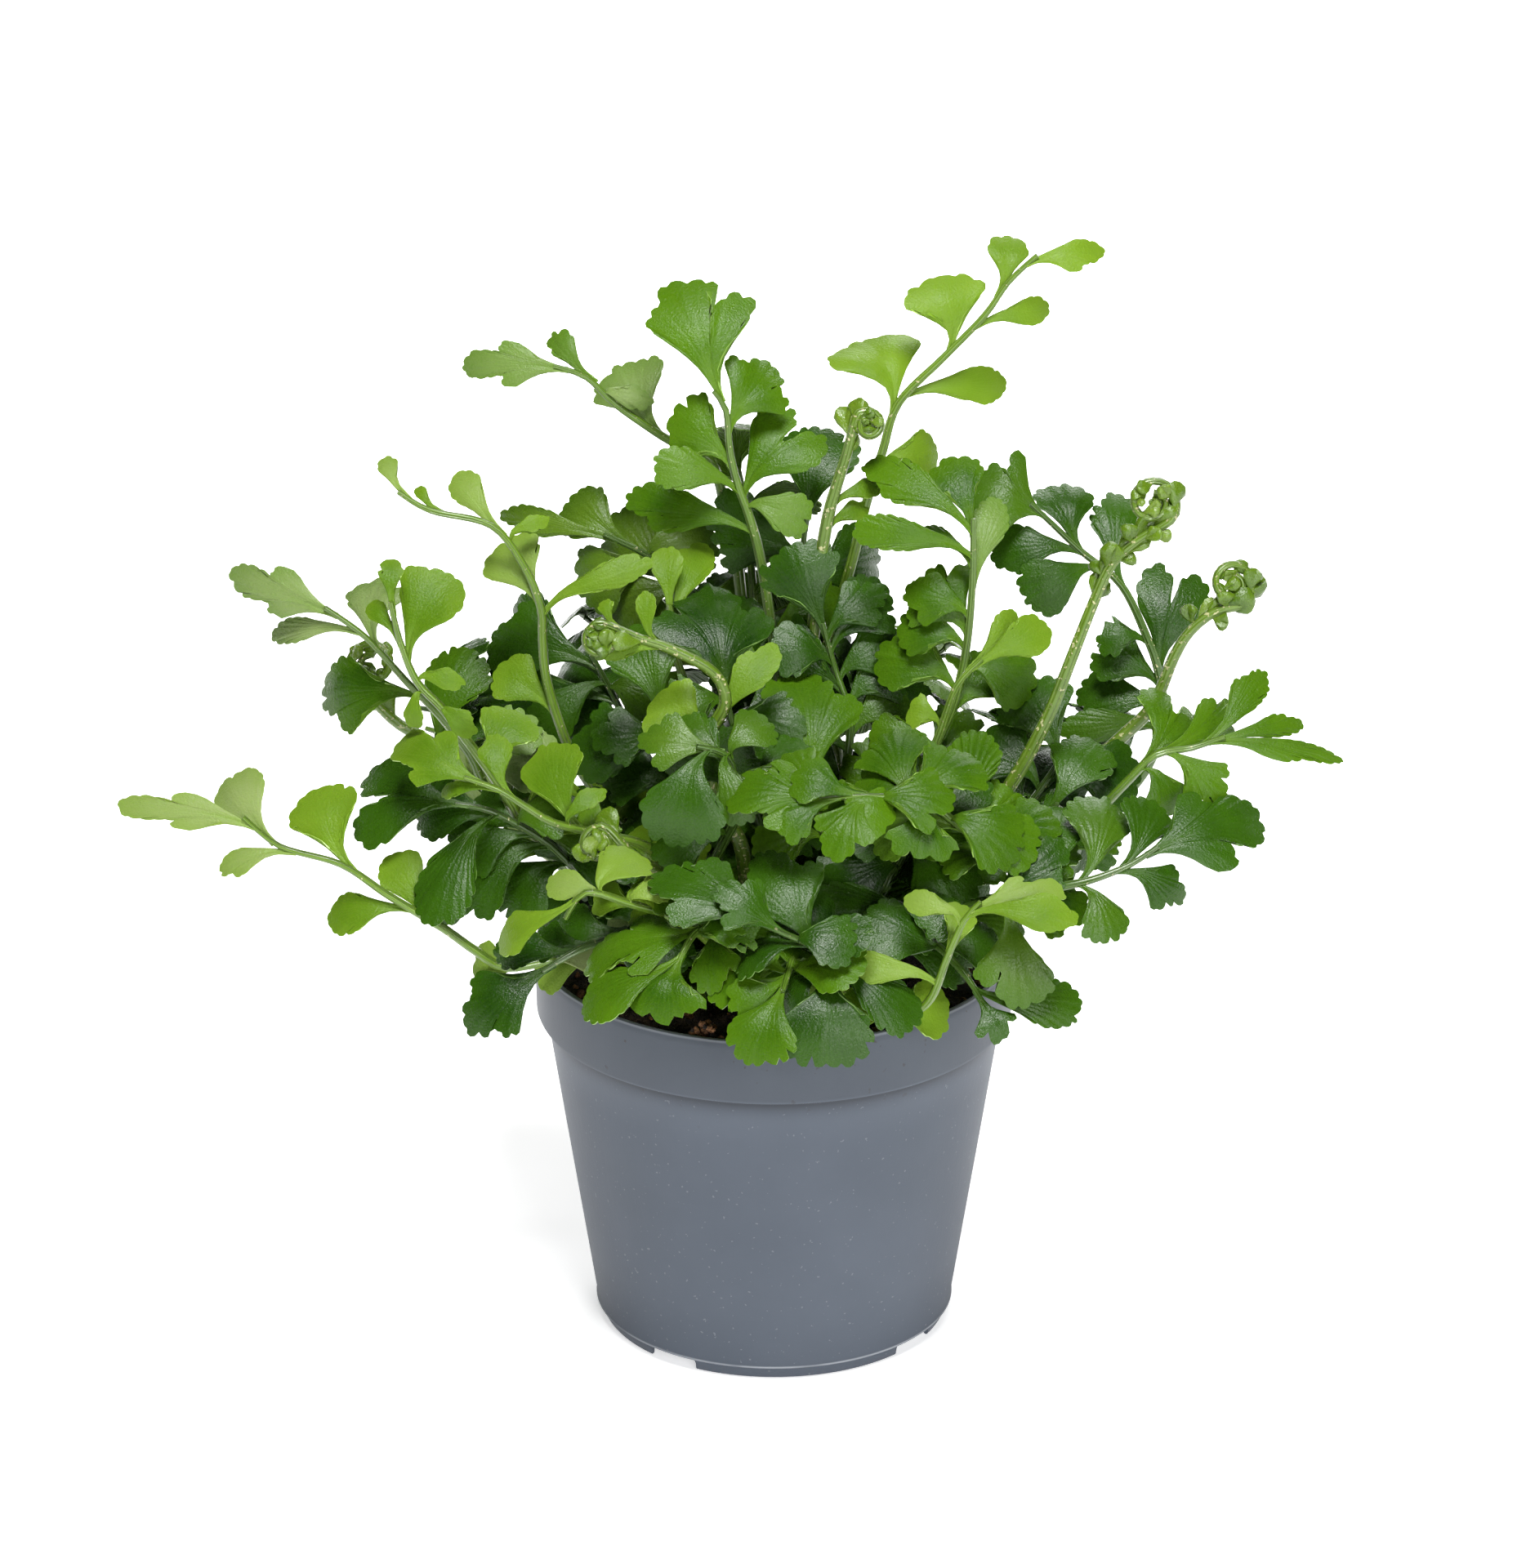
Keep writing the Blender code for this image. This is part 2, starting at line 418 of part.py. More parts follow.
def build_soil(holes):
    """The plug of soil, which stands clear of the pot's inside and has a plain hole for each stem."""
    low = FOOT_HEIGHT + FLOOR + SEAT_GAP
    band_low = POT_HEIGHT - RIM_BAND
    edge = inner_radius(POT_HEIGHT) - SEAT_GAP
    profile = [(0, low), (inner_radius(low) - SEAT_GAP, low),
               (inner_radius(band_low) - SEAT_GAP - 0.1, band_low - 0.4),
               (edge, band_low + WALL + SEAT_GAP + 0.6), (edge, SOIL_LEVEL)]
    profile += [(radius, SOIL_LEVEL) for radius in reversed(SOIL_RINGS)] + [(0, SOIL_LEVEL)]
    points, faces = turned(profile, SOIL_SIDES)
    points = [(x, y, soil_height(x, y)) if z > SOIL_LEVEL - 0.1 else (x, y, z) for x, y, z in points]
    soil = add_object("soil", points, faces)
    cutters = new_collection("soil_cutters")
    radius = (STEM_RADIUS + SEAT_GAP) / math.cos(math.pi / HOLE_SIDES)
    for x, y in holes:
        add_object("hole", *prism(x, y, STEM_SINK - SEAT_GAP, STEM_FREE + 6, radius, HOLE_SIDES), cutters)
    boolean(soil, "DIFFERENCE", cutters)
    soil.data.materials.append(material("soil_peat", (0.03, 0.02, 0.013), 0.95))
    return soil


def crown_places(count):
    """Places of the stems on the soil, spread as on a sunflower."""
    turns = [(k * GOLDEN_ANGLE, CROWN_STEP * math.sqrt(k + 0.5)) for k in range(count)]
    return [Vector((math.cos(angle), math.sin(angle))) * radius for angle, radius in turns]


def near_places(places, first):
    """The free places nearest to the way the frond leans, the nearest first."""
    aim = Vector((first[0], first[1])) * 0.5
    if aim.length > CROWN_RADIUS:
        aim *= CROWN_RADIUS / aim.length
    return sorted(places, key=lambda place: (place - aim).length)[:PLACES_TRIED]


def facing(turn, lean):
    """The way a frond faces and the two directions in its plane, across and up."""
    t, l = math.radians(turn), math.radians(lean)
    normal = Vector((math.sin(t) * math.cos(l), -math.cos(t) * math.cos(l), math.sin(l)))
    across = Vector((math.cos(t), math.sin(t), 0))
    return normal, across, normal.cross(across)


def spline(points, at):
    """A point on the smooth curve through the points, with at = 1 on the first."""
    k = min(max(int(at - 1), 0), len(points) - 2)
    t = at - 1 - k
    a, b, c, d = (points[min(max(k + j, 0), len(points) - 1)] for j in (-1, 0, 1, 2))
    bend = (2 * a - 5 * b + 4 * c - d) * t * t + (3 * b - a - 3 * c + d) * t ** 3
    return 0.5 * (2 * b + (c - a) * t + bend)


def stem_line(root, points, knee_shift, depth_shift):
    """The stem's line as (place, point): straight out of its hole, over a knee and along its points."""
    free = [Vector(p) + Vector((0, depth_shift * min(1, (k + 1) / 2), 0)) for k, p in enumerate(points)]
    foot = Vector((root.x, root.y, STEM_FREE))
    run = free[0] - foot
    level = Vector((run.x, run.y, 0))
    sideways = Vector((-run.y, run.x, 0)).normalized() if level.length > 1 else Vector((1, 0, 0))
    aside, raised = knee_shift
    knee = foot + run * KNEE_PLACE + sideways * aside - level * KNEE_BACK + Vector((0, 0, raised))
    line = [(-1, Vector((root.x, root.y, STEM_SINK + SEAT_GAP))), (0, foot), (KNEE_PLACE, knee)]
    for k in range(len(free)):
        line.append((k + 1, free[k]))
        if k + 1 < len(free) and (free[k + 1] - free[k]).length > LONG_SPAN:
            line.append((k + 1.5, spline(free, k + 1.5)))
    return line


def curl_line(line, radius, side, plane):
    """The line with a crosier's spiral added at its end, in the frond's plane."""
    normal, across, up = plane
    here = line[-1][1]
    ahead = here - line[-2][1]
    heading = math.atan2(ahead.dot(up), ahead.dot(across))
    place = line[-1][0]
    added = []
    for k in range(CURL_STEPS):
        heading += side * CURL_STEP
        bend = radius * (1 - CURL_CLOSING * k / CURL_STEPS)
        step = bend * 2 * math.sin(CURL_STEP / 2)
        here = here + (across * math.cos(heading) + up * math.sin(heading)) * step
        added.append((place + (k + 1) / CURL_STEPS, here))
    return line + added


def on_line(line, at):
    """The point of a line at a place."""
    for (a, p), (b, q) in zip(line, line[1:]):
        if at <= b:
            return p.lerp(q, (at - a) / (b - a))
    return line[-1][1]


def tube(line, normal, tip_radius, extra=0.0):
    """Points and faces of the stem round its line, tapering to its tip."""
    points = []
    count = len(line)
    last_place = line[-1][0]
    side = (line[1][1] - line[0][1]).cross(normal)
    for k, (place, here) in enumerate(line):
        ahead = (line[min(k + 1, count - 1)][1] - line[max(k - 1, 0)][1]).normalized()
        side = (side - ahead * side.dot(ahead)).normalized()
        top = side.cross(ahead)
        share = min(1, max(0, place) / last_place)
        radius = STEM_RADIUS + (tip_radius - STEM_RADIUS) * share + extra
        for j in range(STEM_SIDES):
            angle = 2 * math.pi * j / STEM_SIDES
            points.append(here + (side * math.cos(angle) + top * math.sin(angle)) * radius)
    faces = []
    for k in range(count - 1):
        a, b = k * STEM_SIDES, (k + 1) * STEM_SIDES
        for j in range(STEM_SIDES):
            n = (j + 1) % STEM_SIDES
            faces += [(a + j, a + n, b + n), (a + j, b + n, b + j)]
    last = (count - 1) * STEM_SIDES
    return points, faces + [tuple(reversed(range(STEM_SIDES))), tuple(range(last, last + STEM_SIDES))]


def leaf_height(across, along, length, width, droop, phase):
    """How far the leaf's surface lies off its plane: it droops to the tip, rolls and is pleated."""
    drooped = length * droop * along * along
    rolled = LEAF_ROLL * width * across * across
    pleat = math.sin(PLEAT_COUNT * math.atan2(across * width, max(along * length, 0.1)) + phase)
    return drooped - rolled + PLEAT_DEPTH * width * pleat * along


def leaf_middle(base, plane, bearing, twist, pitch, outline, length, width, droop, phase):
    """The points of a leaf's middle surface from its base on the stem, and the way the leaf faces."""
    normal, across, up = plane
    angle = math.radians(bearing)
    along = across * math.sin(angle) + up * math.cos(angle)
    side = along.cross(normal)
    turn = Euler((math.radians(pitch), math.radians(twist), 0)).to_matrix()
    side, along, normal = (side * c.x + along * c.y + normal * c.z for c in turn.col)
    blade = length - STALK_LENGTH
    middle = [base, base + along * STALK_LENGTH - side * STALK_WIDTH / 2]
    for x, y in outline:
        height = leaf_height(x, y, length, width, droop, phase)
        middle.append(base + side * x * width + along * (STALK_LENGTH + y * blade) + normal * height)
    middle.append(base + along * STALK_LENGTH + side * STALK_WIDTH / 2)
    return middle, normal


def leaf_solid(middle, normal, thickness, with_stalk=True):
    """Points and faces of a leaf, whose two faces are split alike into triangles."""
    middle = middle if with_stalk else middle[1:]
    count = len(middle)
    half = normal * thickness / 2
    points = [p + half for p in middle] + [p - half for p in middle]
    first = 1 if with_stalk else 0
    splits = [(first, k, k + 1) for k in range(first + 1, count - 1)]
    if with_stalk:
        splits.append((0, 1, count - 1))
    faces = [(a, c, b) for a, b, c in splits]
    faces += [(count + a, count + b, count + c) for a, b, c in splits]
    for k in range(count):
        n = (k + 1) % count
        faces += [(k, n, count + n), (k, count + n, count + k)]
    return points, faces


def bead(base, plane, bearing, length, width):
    """Points and faces of a leaf still folded into a bead beside the stem."""
    normal, across, up = plane
    angle = math.radians(bearing)
    along = across * math.sin(angle) + up * math.cos(angle)
    side = along.cross(normal)
    frame = bmesh.new()
    bmesh.ops.create_icosphere(frame, subdivisions=1, radius=0.5)
    frame.verts.index_update()
    middle = base + along * length * 0.4
    points = [middle + along * v.co.y * length + side * v.co.x * width + normal * v.co.z * width
              for v in frame.verts]
    faces = [tuple(v.index for v in f.verts) for f in frame.faces]
    frame.free()
    return points, faces


def is_clear(shape, placed):
    """Whether a shape of (points, faces) meets none of the placed trees."""
    tree = BVHTree.FromPolygons(*shape)
    low = Vector([min(p[k] for p in shape[0]) for k in range(3)])
    high = Vector([max(p[k] for p in shape[0]) for k in range(3)])
    for other_low, other_high, other in placed:
        near = all(low[k] <= other_high[k] and other_low[k] <= high[k] for k in range(3))
        if near and tree.overlap(other):
            return False
    return True


def as_trees(shapes):
    """Each shape as (low corner, high corner, tree), for testing what meets it."""
    found = []
    for points, faces in shapes:
        low = [min(p[k] for p in points) for k in range(3)]
        high = [max(p[k] for p in points) for k in range(3)]
        found.append((low, high, BVHTree.FromPolygons(points, faces)))
    return found


def clear_stem(roots, points, plane, curl, placed):
    """The first try of the stem that is clear of the other fronds: its root, its line and its shape."""
    tip_radius = CROSIER_TIP if curl else TIP_RADIUS
    for depth_shift, root, knee_shift in itertools.product(DEPTH_SHIFTS, roots, KNEE_SHIFTS):
        line = stem_line(root, points, knee_shift, depth_shift)
        if curl:
            line = curl_line(line, *curl, plane)
        if is_clear(tube(line, plane[0], tip_radius, 2 * CLEARANCE), placed):
            return root, line, tube(line, plane[0], tip_radius)
    raise ValueError(f"no clear way for the stem at {points[0]}")


def clear_leaf(base, plane, leaf, chance, placed, own):
    """A leaf clear of the other fronds and, where it can be, of its own, as its solid and its free part."""
    outline, bearing, length, width = leaf
    if outline == BEAD:
        shape = bead(base, plane, bearing, length, width)
        return (shape, shape) if is_clear(shape, placed) else None
    droop, phase = chance.uniform(DROOP_MOST, DROOP_LEAST), chance.uniform(0, 2 * math.pi)
    own_twist, own_pitch = chance.uniform(-OWN_TWIST, OWN_TWIST), chance.uniform(-OWN_PITCH, OWN_PITCH)
    crossing = None
    for twist, pitch, size in LEAF_TRIES:
        middle, normal = leaf_middle(base, plane, bearing, own_twist + twist, own_pitch + pitch, outline,
                                     length * size, width * size, droop, phase)
        if not is_clear(leaf_solid(middle, normal, LEAF_THICKNESS + 2 * CLEARANCE), placed):
            continue
        found = leaf_solid(middle, normal, LEAF_THICKNESS), leaf_solid(middle, normal, LEAF_THICKNESS, False)
        if is_clear(found[1], own):
            return found
        crossing = crossing or found
    return crossing


def add_stem(frond, places, placed):
    """Places a frond's stem; the frond then holds its plane, line and shapes."""
    frond["plane"] = facing(frond["turn"], frond["lean"])
    roots = near_places(places, frond["points"][0])
    root, frond["line"], stem = clear_stem(roots, frond["points"], frond["plane"], frond["curl"], placed)
    frond["root"] = root
    places.remove(root)
    frond["shapes"] = [stem]
    frond["trees"] = as_trees([stem])
    placed += frond["trees"]


def add_leaves(frond, placed):
    """Places a frond's leaves one by one, each bent clear of what is there, or leaves it off."""
    chance = random.Random(frond["name"])
    others = [tree for tree in placed if tree not in frond["trees"]]
    longer, wider = TONES[frond["tone"]][2:]
    ats = [leaf[0] for leaf in frond["leaves"]]
    for k, (at, outline, bearing, length, width) in enumerate(frond["leaves"]):
        base = on_line(frond["line"], at - LEAF_SINK * (1 + ats[:k].count(at)))
        leaf = (outline, bearing, length * longer, width * wider)
        found = clear_leaf(base, frond["plane"], leaf, chance, others, frond["trees"])
        if found:
            frond["shapes"].append(found[0])
            frond["trees"] += as_trees([found[1]])
            placed += as_trees([found[0]])


def build_frond(frond):
    """Joins a frond's stem and leaves into one solid."""
    name = "frond_" + frond["name"]
    made = add_object(name, *frond["shapes"][0])
    others = new_collection("leaves")
    for shape in frond["shapes"][1:]:
        add_object("leaf", *shape, others)
    boolean(made, "UNION", others)
    colour, roughness = TONES[frond["tone"]][:2]
    made.data.materials.append(material(name, colour, roughness))


def rear_frond(azimuth, reach, height):
    """The points and leaves of an arching frond that leans out of the crown."""
    angle = math.radians(azimuth)
    out = Vector((math.sin(angle), -math.cos(angle), 0))
    rise = height - POT_HEIGHT
    points = [out * reach * far + Vector((0, 0, POT_HEIGHT + rise * high)) for far, high in REAR_ARCH]
    leaves = [(at, FAN, bearing, length, length * REAR_WIDTH) for at, bearing, length in REAR_LEAVES]
    return points, [(len(points), LOBED, 0, REAR_TIP, REAR_TIP * REAR_WIDTH)] + leaves


def all_fronds():
    """Every frond as named values, the hand-placed ones first."""
    found = []
    for name, tone, turn, lean, points, leaves, *curl in FRONDS:
        found.append({"name": name, "tone": tone, "turn": turn, "lean": lean, "points": points,
                      "leaves": leaves, "curl": curl})
    for k, (azimuth, reach, height, tone) in enumerate(REAR_FRONDS):
        points, leaves = rear_frond(azimuth, reach, height)
        lean = REAR_LEAN if height < TALL else TALL_LEAN
        found.append({"name": f"rear_{k + 1}", "tone": tone, "turn": azimuth, "lean": lean, "points": points,
                      "leaves": leaves, "curl": []})
    return found


def main():
    clear_scene()
    build_pot()
    fronds = all_fronds()
    places = crown_places(len(fronds))
    placed = as_trees([turned(pot_profile(), POT_SIDES)])
    for frond in fronds:
        add_stem(frond, places, placed)
    for frond in fronds:
        add_leaves(frond, placed)
    for frond in fronds:
        build_frond(frond)
    build_soil([frond["root"] for frond in fronds])


main()
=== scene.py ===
"""A potted asplenium: a fern with fan-shaped, scalloped leaflets and coiled young fronds in a nursery pot.

Sizes are in millimetres and become metres where a mesh is made. The pot's axis is +Z through the origin,
the pot stands on Z = 0 and -Y is the front.
"""
import itertools
import json
import math
import random

import bpy
import numpy as np
from mathutils import Euler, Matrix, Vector, noise
from mathutils.bvhtree import BVHTree
from mathutils.kdtree import KDTree

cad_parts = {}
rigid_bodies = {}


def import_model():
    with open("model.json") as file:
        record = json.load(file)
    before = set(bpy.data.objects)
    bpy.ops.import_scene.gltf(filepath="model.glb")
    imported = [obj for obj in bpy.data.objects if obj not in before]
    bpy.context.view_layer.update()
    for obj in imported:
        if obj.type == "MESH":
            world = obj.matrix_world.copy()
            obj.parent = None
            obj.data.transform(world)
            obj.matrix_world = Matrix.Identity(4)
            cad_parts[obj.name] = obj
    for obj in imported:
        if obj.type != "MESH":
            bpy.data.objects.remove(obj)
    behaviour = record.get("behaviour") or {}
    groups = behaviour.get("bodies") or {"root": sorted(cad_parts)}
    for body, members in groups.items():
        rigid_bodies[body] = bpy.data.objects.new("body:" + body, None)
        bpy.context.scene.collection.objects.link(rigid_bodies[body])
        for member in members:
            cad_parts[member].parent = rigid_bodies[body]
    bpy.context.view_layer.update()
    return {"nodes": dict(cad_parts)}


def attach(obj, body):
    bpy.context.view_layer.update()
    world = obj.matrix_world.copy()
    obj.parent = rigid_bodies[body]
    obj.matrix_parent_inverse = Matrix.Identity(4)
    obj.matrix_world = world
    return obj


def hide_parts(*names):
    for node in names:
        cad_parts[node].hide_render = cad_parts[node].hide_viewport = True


MM = 0.001

# Driving sizes of the pot
RIM_RADIUS = 60.5
POT_HEIGHT = 101.0
RIM_BAND = 17.5
RIM_STEP = 2.8
WALL = 1.2
RIM_WALL = 1.6
LIP = 0.55
BODY_FOOT_RADIUS = 45.2
FOOT_HEIGHT = 3.5
FOOT_INSET = 1.4
FLOOR = 1.6
FLOOR_MIDDLE = 2.0
MOULD_LINE = 0.4
PAD_RADIUS = 6.0
NOTCH_WIDTH = 14.0
NOTCH_HEIGHT = 3.0
NOTCH_REACH = (36.0, 50.0)
NOTCH_ROUNDING = 1.2
FIRST_NOTCH = -126.0
DRAIN_RADIUS = 5.0
DRAIN_PLACE = 31.0
DRAIN_DEPTH = 8
DRAIN_MIDDLE = 4.5
DRAIN_SIDES = 28
POT_SIDES = 144

# Soil and its crumbs
SOIL_LEVEL = 92.6
SOIL_MOUND = 2.6
SOIL_LUMP = 0.55
SEAT_GAP = 0.35
SOIL_RINGS = 30
SOIL_SIDES = 140
CRUMB_COUNT = 420
CRUMB_SIZES = (0.5, 1.5)
CRUMB_EDGE = 4.2
CRUMB_STRETCH = (0.6, 1.3)
CRUMB_ROUGH = (0.8, 1.15)
CRUMB_SEAT = 0.35
CRUMB_DARK = 0.5
BIG_CRUMB = 1.5
BIG_SHARE = 0.12
STEM_ROOM = 1.2

# The rusty heap of crumbs inside the rim: how many, the side of the pot, how high, how wide and how deep
RIM_CRUMBS = 130
RIM_CRUMB_SIDE = -107.0
RIM_HEAP = 11.5
HEAP_TURN = 5.5
HEAP_DEPTH = 1.8
HEAP_SIZES = (0.45, 1.15)
HEAP_ROUGH = (0.7, 1.2)
HEAP_DARK = 0.2
HEAP_GAP = 0.8
HEAP_FOOT = 1.2
HEAP_ENDS = (2.2, 3)

# Stems, each standing in its hole of the soil
STEM_SINK = 82.0
STEM_FREE = 98.5
STEM_RADIUS = 1.6
TIP_RADIUS = 0.65
CROSIER_TIP = 0.9
CROSIER_GAIN = 1.35
SOLID_SIDES = 3
STEM_SIDES = 10
STEM_STEP = 2.6
STEM_PATTERN = 200
GROOVE = 0.2
GROOVE_WIDTH = 0.5
KNEE_PLACE = 0.5
KNEE_BACK = 0.12
LONG_SPAN = 17.0
CURL_STEP = math.radians(38)
CURL_STEPS = 13
CURL_CLOSING = 0.62
RUN_STEP = 0.05

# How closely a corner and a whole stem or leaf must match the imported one
MATCH = 0.05
FOOT_SLACK = 0.1
SURE_SHARE = 0.9
LIKELY_SHARE = 0.3

# Leaves as the solids have them
SOLID_THICKNESS = 0.8
STALK_LENGTH = 2.3
LEAF_SINK = 0.07
LEAF_ROLL = 0.22
PLEAT_DEPTH = 0.045
PLEAT_COUNT = 5.5
DROOP_LEAST, DROOP_MOST = -0.02, -0.22
OWN_TWIST = 14.0
OWN_PITCH = 12.0

# Fine leaves: the grid that they are bent from, and their scallops
LEAF_THICKNESS = 0.36
STALK_WIDTH = 1.3
EDGE_PARTS = 6
EDGE_CHANCE = 0.016
SMOOTH_SIDES = 0.43
SIDE_COLUMNS = 6
TOOTH_COLUMNS = 4
TOOTH_SHAPE = (0.0, 0.82, 1.0, 0.8)
TOOTH_MIDDLE = 0.6
TOOTH_SHIFT = 0.16
TOOTH_VARIES = (0.5, 1.3)
TOOTH_DEPTHS = {"young": 0.13, "fresh": 0.25, "mature": 0.26}
TOOTH_COUNTS = ((11.5, 4), (15.0, 5), (19.0, 8), (24.0, 10), (1000.0, 12))
NOTCH_SHARE = 0.1
NOTCH_DEPTH = 1.4
ROWS = (0.0, 0.1, 0.22, 0.38, 0.58, 0.81, 1.0)

# A cut leaf's scallops fade towards its stalk: where they end, how soon they are whole, and the least of them
CALM_END, CALM_RUN, CALM_LEAST = 0.62, 0.2, 0.15

# Relief of fine leaves: veins, ruffled edge, dome, ridges, curled tip, gutter at the stalk, soft swells
VEIN_BEND = 1.8
FINE_PLEAT = 0.02
RUFFLE = 0.022
RUFFLE_WAVES = 2.5
DOME = 0.08
CROWNS = {"young": (-0.2, 0.25), "fresh": (0.0, 0.3), "mature": (0.05, 0.35)}
RIDGES = {"young": 0.06, "fresh": 0.14, "mature": 0.17}
TIP_CURL = 0.7
CURL_START = 0.6
GUTTER = 0.5
GUTTER_END = 2.2
SWELL = 0.12
SWELL_PITCH = 5.5
RUN_DOWN = 3.2
RUN_SHARE = 0.3

# A rolled leaflet, as (share of its length, share of its width) from its stalk to its top
BUD_RINGS = ((0.0, 0.14), (0.16, 0.18), (0.32, 0.38), (0.5, 0.78), (0.66, 1.0), (0.81, 0.94), (0.93, 0.62),
             (0.99, 0.18))
BUD_SIDES = 12
BUD_FOLD = 0.62
BUD_FOLD_WIDTH = 0.45
BUD_LOBES = 0.2
BUD_FLAT = 0.68
BUD_BEND = math.radians(75)
BUD_BENDS = (0.5, 1.0)
BUD_TWIST = 40
BUD_PITCHES = (-10, 35)
FOLD_STRAY = 0.7

# Rolled leaflets on a crosier: how far down its neck, in points of its stem, and how close and how large
KNOB_REACH = {"big_crosier": 3.0, "right_crosier": 1.7}
KNOB_REACH_ELSE = 1.1
KNOB_STEP = 0.34
KNOB_LENGTHS = (7.2, 11.0)
KNOB_WIDTHS = (0.56, 0.78)
KNOB_STRAY = 0.1
KNOB_GAINS = (0.75, 1.1)
KNOB_TURNS = (25, 60)
OUTWARD_SHARE = 0.3
CURL_KNOBS = 9
CURL_KNOB_STEP = 0.1
CURL_KNOB_SIZE = 0.72
CURL_KNOB_START = 0.04
CURL_KNOB_STRAY = 0.03
CURL_KNOB_GAINS = (0.65, 1.15)
CURL_KNOB_SHRINK = 0.04
CURL_KNOB_TURNS = (45, 100)

# How much stronger than its age has it a frond's leaves are ridged
RIDGED = {"ridged": 4.0, "middle_low": 2.4, "middle_fan": 1.7, "right_low": 1.6}

# How much paler than its age a frond is, and a leaf at its tip, and how leaves vary (mean, spread)
# The palest fronds take the pale green: partly their own paler green, partly a painted whitish haze of light
# through them
PALER = {"far_left": 0.85, "left_middle": 1.65, "top_left": 1.1, "top_middle": 0.12, "upper_left": 0.2,
         "right_arch": 0.3, "right_low": 0.4, "front_light": -0.4, "right_fan": 0.3, "front_left": -0.2,
         "middle_low": -0.3, "middle_down": 0.6, "back_left": 1.3, "light_fan": -0.3, "left_low": -0.7,
         "young_pair": -0.2, "low_left_twist": 0.5, "left_dark": 0.3, "front_right": 0.5, "front_gloss": 0.3,
         "front_low_left": -0.3, "bright_left": -0.3}
TIP_PALER = 0.25
LEAF_TINTS = (0.35, 0.3)
BUD_TINTS = (0.6, 0.35)

# Leaves unlike their age: place on the stem, shares of length and width, how much paler
LEAF_SHARES = {
    "far_left": ((7.0, 0.8, 0.42, 0.2), (5.0, 1.0, 0.8, -0.8), (3.8, 1.0, 1.0, -1.3), (3.3, 1.0, 1.0, -1.3)),
    "left_middle": ((7.0, 1.0, 0.62, 0.2), (4.9, 1.25, 0.8, -1.5), (3.0, 1.0, 1.0, -1.0)),
    "top_left": ((7.0, 1.0, 0.75, 0.0),),
    "top_middle": ((7.0, 1.05, 0.84, 0.0),),
    "top_right": ((9.0, 1.0, 0.8, 0.3), (8.0, 1.0, 0.9, 0.0)),
    "right_edge": ((5.0, 1.0, 0.7, 0.5), (4.7, 0.8, 0.8, 0.0)),
    "front_light": ((3.0, 0.86, 0.95, 0.0),),
    "light_fan": ((4.0, 0.85, 0.75, 0.0), (3.8, 0.7, 0.9, 0.0)),
    "right_fan": ((1.9, 0.72, 0.78, 0.0),),
    "front_left": ((3.9, 0.84, 1.4, 0.0), (2.9, 0.92, 1.05, 0.0)),
    "front_right": ((5.6, 0.8, 0.95, 0.0), (5.9, 0.9, 0.9, 0.0)),
    "front_gloss": ((3.0, 0.86, 0.8, 0.5),),
}

# By age: a leaf's dark, light and pale greens, its stalk's, then its roughness, gloss and glow
# The pale green is partly a leaf's own paler green and partly a painted whitish haze and sheen
LEAF_LOOKS = {
    "young": ((0.058, 0.126, 0.003), (0.125, 0.214, 0.012), (0.22, 0.265, 0.11), (0.155, 0.26, 0.03),
              0.34, 0.14, 0.12),
    "fresh": ((0.018, 0.06, 0.0012), (0.06, 0.136, 0.003), (0.18, 0.24, 0.085), (0.1, 0.19, 0.013),
              0.27, 0.16, 0.08),
    "mature": ((0.0062, 0.027, 0.001), (0.027, 0.08, 0.002), (0.08, 0.145, 0.01), (0.047, 0.108, 0.008),
               0.26, 0.25, 0.03),
    "rolled": ((0.042, 0.092, 0.003), (0.1, 0.175, 0.008), (0.17, 0.225, 0.05), (0.11, 0.185, 0.015),
               0.24, 0.45, 0.2),
}
PALE_TINTS = (0.9, 1.9)
GLOW_REACH = (0.6, 1.0, 0.2)
GLOW_SCALE = 0.0012
LEAF_RELIEF = 0.0002

# Veins at each fork: how many across a leaf, and the share of its length where they start
VEIN_FORKS = ((14, 0.02), (28, 0.35), (56, 0.7))
VEIN_GROWTH = 0.12

# By age: the underside's green, its pale one and its veins', and the edge's
UNDERSIDE_GREENS = {
    "young": ((0.11, 0.215, 0.007), (0.2, 0.27, 0.05), (0.16, 0.275, 0.02)),
    "fresh": ((0.06, 0.135, 0.004), (0.145, 0.21, 0.045), (0.1, 0.18, 0.018)),
    "mature": ((0.022, 0.062, 0.003), (0.07, 0.12, 0.01), (0.045, 0.1, 0.01)),
}
UNDERSIDE_ROUGHNESS = 0.42
UNDERSIDE_GLOSS = 0.2
EDGE_ROUGHNESS = 0.4
EDGE_PALER = 1.5
EDGE_GREENS = {"young": (0.2, 0.31, 0.05), "fresh": (0.14, 0.24, 0.04), "mature": (0.085, 0.16, 0.03)}

# By age and for crosiers: a stem's green at its foot, its green above, its stripes' and how scaly it is
STEM_LOOKS = {
    "young": ((0.06, 0.125, 0.006), (0.1, 0.185, 0.01), (0.18, 0.28, 0.04), 0.05),
    "fresh": ((0.045, 0.1, 0.006), (0.08, 0.155, 0.01), (0.15, 0.25, 0.04), 0.05),
    "mature": ((0.028, 0.068, 0.004), (0.045, 0.1, 0.008), (0.1, 0.175, 0.028), 0.05),
    "rolled": ((0.05, 0.1, 0.005), (0.085, 0.155, 0.008), (0.15, 0.23, 0.035), 0.12),
}
STEM_ROUGHNESS = 0.33
STEM_STRIPES = 5.0
STEM_COAT = 0.15
STEM_RELIEF = 0.00025
SCALE_COLOUR = (0.5, 0.48, 0.25)

# The bend in degrees from which an edge stays sharp
POT_CREASE = 35
SOIL_CREASE = 60
FROND_CREASE = 50

